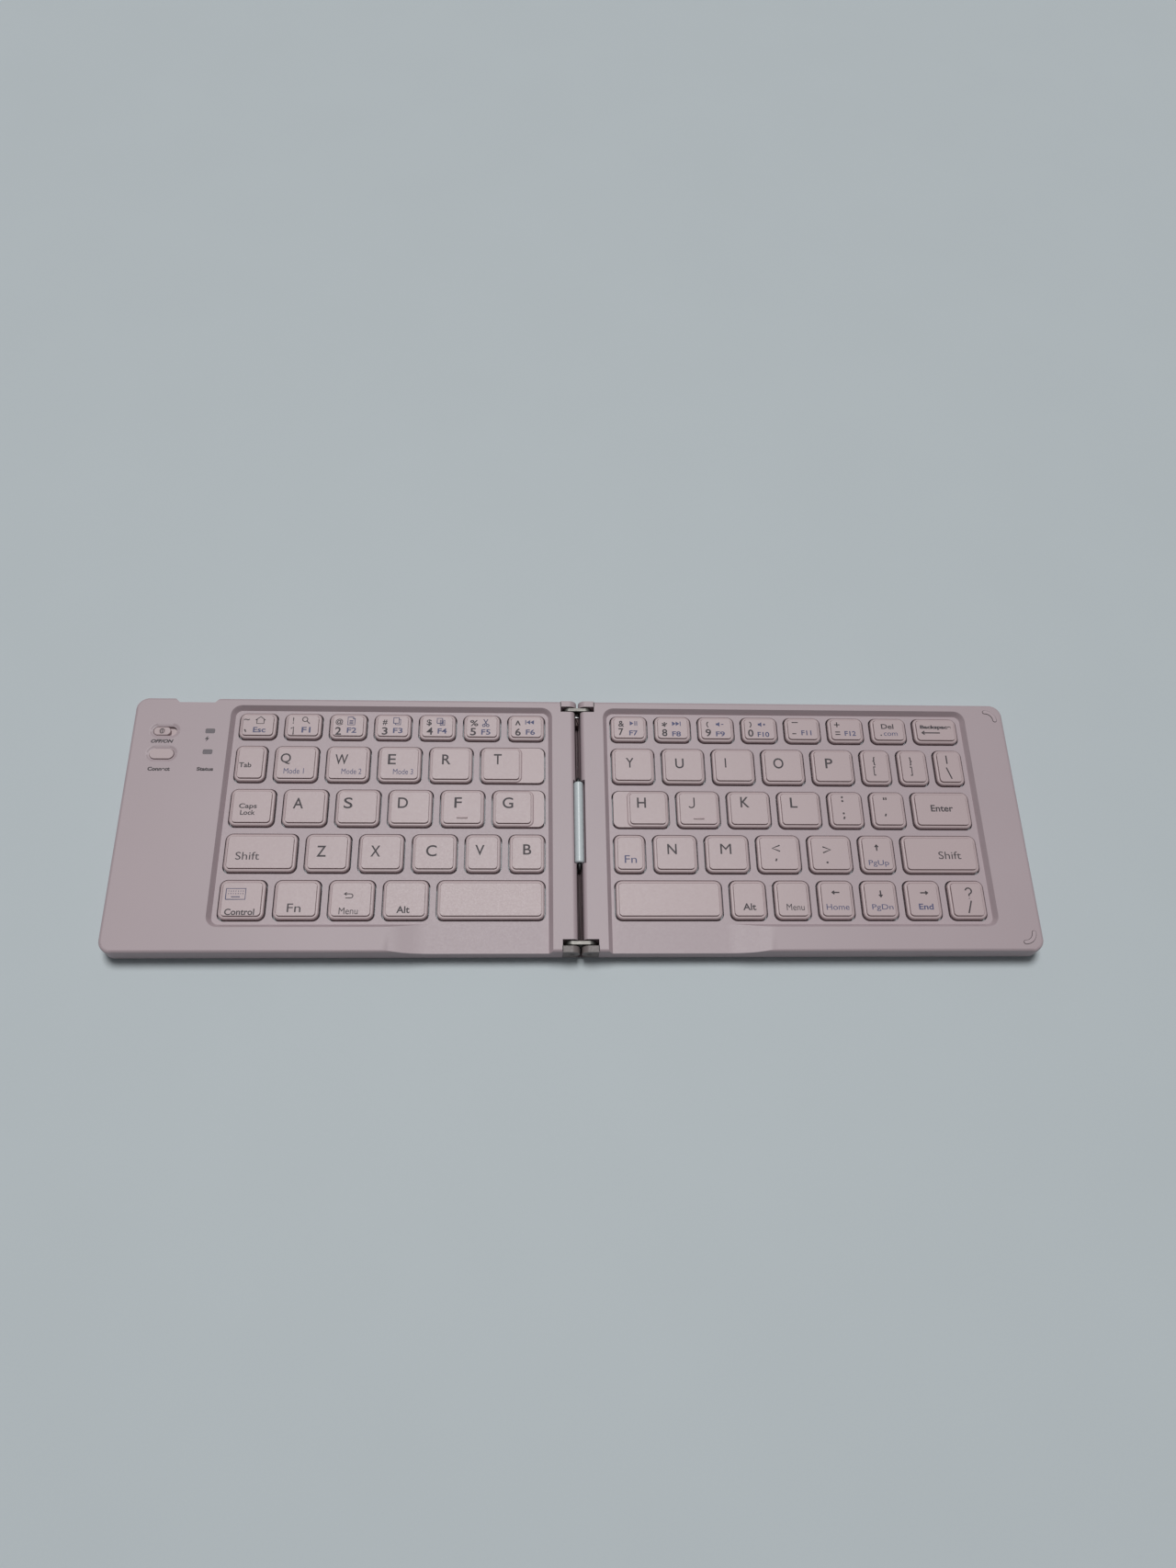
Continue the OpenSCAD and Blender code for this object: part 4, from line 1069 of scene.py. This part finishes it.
PASTE = [frame_of(-1.2, -0.6, 0.5, 1.2), frame_of(-0.2, -1.3, 1.2, 0.5),
         [(0.1, 0), (0.9, 0)], [(0.1, -0.4), (0.9, -0.4)], [(0.1, -0.8), (0.9, -0.8)]]
SCISSORS = [ring(-0.6, -0.9, 0.42), ring(0.6, -0.9, 0.42),
            [(-0.4, -0.55), (0.65, 1.3)], [(0.4, -0.55), (-0.65, 1.3)]]
HOOK = [[(-0.6, 0.9), (-1.3, 0.45), (-0.6, 0.0)], [(-1.3, 0.45), (0.6, 0.45)],
        ring(0.6, -0.2, 0.65, 90, -90, 8), [(0.6, -0.85), (-0.9, -0.85)]]
# Signs drawn as lines, because the built-in letters draw them too heavily
ONE = [[(-0.55, 0.8), (0.3, 1.35), (0.3, -1.35)]]
CAPITAL_J = [[(0.85, 1.75), (0.85, -0.6)] + ring(-0.05, -0.75, 0.9, 0, -150, 10)]
QUESTION = [ring(0, 0.75, 0.95, 170, -40, 12) + [(0.05, -0.35), (0.0, -0.9)], [(0, -1.55), (0, -1.75)]]
CAPITAL_I = [[(0, 1.65), (0, -1.65)]]
OPEN_BRACE = [[(0.35, 1.4), (0.05, 1.2), (0.05, 0.25), (-0.3, 0), (0.05, -0.25), (0.05, -1.2),
               (0.35, -1.4)]]
OPEN_BRACKET = [[(0.3, 1.45), (-0.25, 1.45), (-0.25, -1.45), (0.3, -1.45)]]
OPEN_ROUND = [ring(1.05, 0, 1.3, 130, 230, 8)]
CHEVRON = [[(1.2, 1.0), (-1.2, 0), (1.2, -1.0)]]
COMMA = [[(0.12, 0.35), (0.12, -0.05), (-0.15, -0.5)]]
QUOTES = [[(-0.35, 0.5), (-0.35, -0.35)], [(0.35, 0.5), (0.35, -0.35)]]
PLUS = [[(-0.9, 0), (0.9, 0)], [(0, 0.9), (0, -0.9)]]
EQUALS = [[(-0.8, 0.45), (0.8, 0.45)], [(-0.8, -0.45), (0.8, -0.45)]]
DASH = [[(-0.65, 0), (0.65, 0)]]
UNDERLINE = [[(-1, 0), (1, 0)]]
SLASH = [[(0.65, 2.0), (-0.65, -2.0)]]
KEYBOARD = [frame_of(-2.85, -1.7, 2.85, 1.7), [(-1.3, -0.9), (1.3, -0.9)]] + [
    [(px - 0.12, py), (px + 0.12, py)]
    for py in (0.9, 0.1) for px in (-2.1, -1.4, -0.7, 0, 0.7, 1.4, 2.1)]
BOLT = [[(0.35, 1.1), (-0.7, -0.15), (-0.05, -0.15), (-0.35, -1.1), (0.7, 0.25), (0.1, 0.25)]]
SPEAKER = [[(-1.4, -0.35), (-0.9, -0.35), (-0.2, -0.85), (-0.2, 0.85), (-0.9, 0.35), (-1.4, 0.35)]]


def mirrored(paths):
    """The same lines, turned left for right."""
    return [[(-px, py) for px, py in path] for path in paths]


def dot(x, y, radius=0.36):
    """A filled round dot."""
    return ring(x, y, radius, 0, 330, 11)


def bar(x):
    """A filled upright bar."""
    return [(x - 0.14, -0.8), (x + 0.14, -0.8), (x + 0.14, 0.8), (x - 0.14, 0.8)]


def wedge(x, way):
    """A filled triangle that points left or right."""
    return [(x - way * 0.6, -0.8), (x + way * 0.6, 0), (x - way * 0.6, 0.8)]


# Each drawing and its middle on the keyboard, with its lines' width where it isn't the usual one
DARK_LINES = [
    (ONE, -90.35, 30.6, 0.36), (CAPITAL_J, 35.3, 6.25, 0.4), (QUESTION, 119.1, -23.75, 0.42),
    (CAPITAL_I, 47.0, 20.3, 0.42), (UNDERLINE, 70.7, 35.1, 0.34), (DASH, 70.2, 31.0, 0.36),
    (PLUS, 84.5, 34.4, 0.36), (EQUALS, 84.5, 31.3, 0.36),
    (OPEN_ROUND, 42.1, 34.1, 0.34), (mirrored(OPEN_ROUND), 56.05, 34.2, 0.34),
    (OPEN_BRACE, 95.1, 21.25, 0.42), (OPEN_BRACKET, 95.05, 17.75, 0.42),
    (mirrored(OPEN_BRACE), 107.1, 21.25, 0.42), (mirrored(OPEN_BRACKET), 106.9, 17.75, 0.42),
    ([[(0, 1.5), (0, -1.5)]], 119.0, 21.95, 0.42), (mirrored(SLASH), 119.2, 17.15, 0.42),
    (SLASH, 118.9, -28.15, 0.42), (CHEVRON, 60.75, -9.05, 0.42), (mirrored(CHEVRON), 76.55, -9.5, 0.42),
    (COMMA, 60.5, -12.8, 0.48), (COMMA, 83.3, 1.4, 0.48), (COMMA, 96.6, 2.45, 0.48),
    (QUOTES, 97.0, 7.9, 0.46),
    (HOUSE, -100.6, 34.35), (MAGNIFIER, -86.3, 34.4), (HOOK, -69.0, -24.5),
    (arrow(6.0, 180, 0.9), 115.3, 31.7, 0.4), (arrow(2.0, 90), 92.3, -8.8, 0.42),
    (arrow(2.3, 180), 77.85, -23.5, 0.42),
    (arrow(2.1, -90), 91.7, -23.9, 0.42), (arrow(2.35, 0), 105.2, -23.6, 0.42),
]
BLUE_LINES = [
    (PAGE, -72.05, 34.3), (COPY, -57.6, 34.3), (PASTE, -43.7, 34.3), (SCISSORS, -29.4, 34.0),
    (KEYBOARD, -102.15, -24.1), ([[(0.3, 0), (1.1, 0)]], 46.2, 34.2),
    ([[(0.3, 0), (1.1, 0)], [(0.7, -0.4), (0.7, 0.4)]], 59.9, 34.25),
]
DARK_SHAPES = [
    (BOLT, -116.5, 27.45), ([dot(0, 0.65), dot(0, -0.65)], 83.3, 7.75), ([dot(0, 0)], 83.3, 2.85),
    ([dot(0, 0)], 76.4, -13.7), ([dot(0, 0, 0.25)], 98.75, 30.7),
]
BLUE_SHAPES = [
    ([bar(-1.3), wedge(-0.45, -1), wedge(0.75, -1)], -15.35, 34.35),
    ([wedge(-0.55, 1), bar(0.5), bar(1.1)], 18.0, 34.3),
    ([wedge(-0.75, 1), wedge(0.45, 1), bar(1.3)], 31.9, 34.3),
    (SPEAKER, 46.2, 34.2), (SPEAKER, 59.9, 34.25),
]


def print_signs(name, ink, printed):
    """Gathers the signs of one ink on one body into a piece that rides on it."""
    sheets = {}
    for body, mesh in printed:
        if body not in sheets:
            sheets[body] = bmesh.new()
        sheets[body].from_mesh(mesh)
    for body, sheet in sheets.items():
        mesh = bpy.data.meshes.new(name + "_" + body)
        sheet.to_mesh(mesh)
        piece = bpy.data.objects.new(mesh.name, mesh)
        bpy.context.scene.collection.objects.link(piece)
        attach(paint(piece, ink), body)


# How much thicker the letters are printed than the font draws them
BOLD_WEIGHT = 0.045
SMALL_WEIGHT = 0.02
LETTER_WEIGHT = 0.01
# Words up to the first height are small, and single signs up to the second
SMALL_WORD = 2.45
SMALL_SIGN = 3
# How far the words beside the power switch lean
SLANT = 0.25


def print_plain(words, x, y, width, height):
    """Prints a word or a single sign, thicker when small, but not with M, g or m, which would break."""
    single = len(words) == 1
    weight = LETTER_WEIGHT if single else 0
    if height <= (SMALL_SIGN if single else SMALL_WORD):
        weight = SMALL_WEIGHT
    if set("Mgm") & set(words):
        weight = 0
    return print_word(words, x, y, width, height, weight)


def print_bold(words, x, y, width, height):
    """Prints bold words. Those beside the power switch lean."""
    return print_word(words, x, y, width, height, BOLD_WEIGHT, SLANT if "/" in words else 0)


# How wide the dark ink lines on the knob are: painted shade standing in for the shadow in its grooves
GROOVE_SHADE_W = 0.24


def knob_groove_shade():
    """Painted shade in the grooves beside the studs of the power switch's knob, printed as thin dark
    ink lines.
    """
    low, high = (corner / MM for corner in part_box("power_switch_knob"))
    middle = (low + high) / 2
    groove_shade_lines = [ring(0.55, 0, 1.1, 125, 235, 8), ring(-0.55, 0, 1.1, -55, 55, 8), [(0, -0.7), (0, 0.7)]]
    mesh = print_lines(groove_shade_lines, middle.x, middle.y, GROOVE_SHADE_W)[1]
    mesh.transform(Matrix.Translation((0, 0, (high.z - RIM_Z) * MM)))
    print_signs("knob_groove_shade", dark_ink, [("switch_knob", mesh)])


dark_signs = [print_plain(*word) for word in DARK_WORDS]
dark_signs += [print_bold(*word) for word in BOLD_WORDS]
dark_signs += [print_lines(*lines) for lines in DARK_LINES]
dark_signs += [print_shape(*shape) for shape in DARK_SHAPES]
print_signs("dark_signs", dark_ink, dark_signs)
blue_signs = [print_plain(*word) for word in BLUE_WORDS]
blue_signs += [print_lines(*lines) for lines in BLUE_LINES]
blue_signs += [print_shape(*shape) for shape in BLUE_SHAPES]
print_signs("blue_signs", blue_ink, blue_signs)
knob_groove_shade()
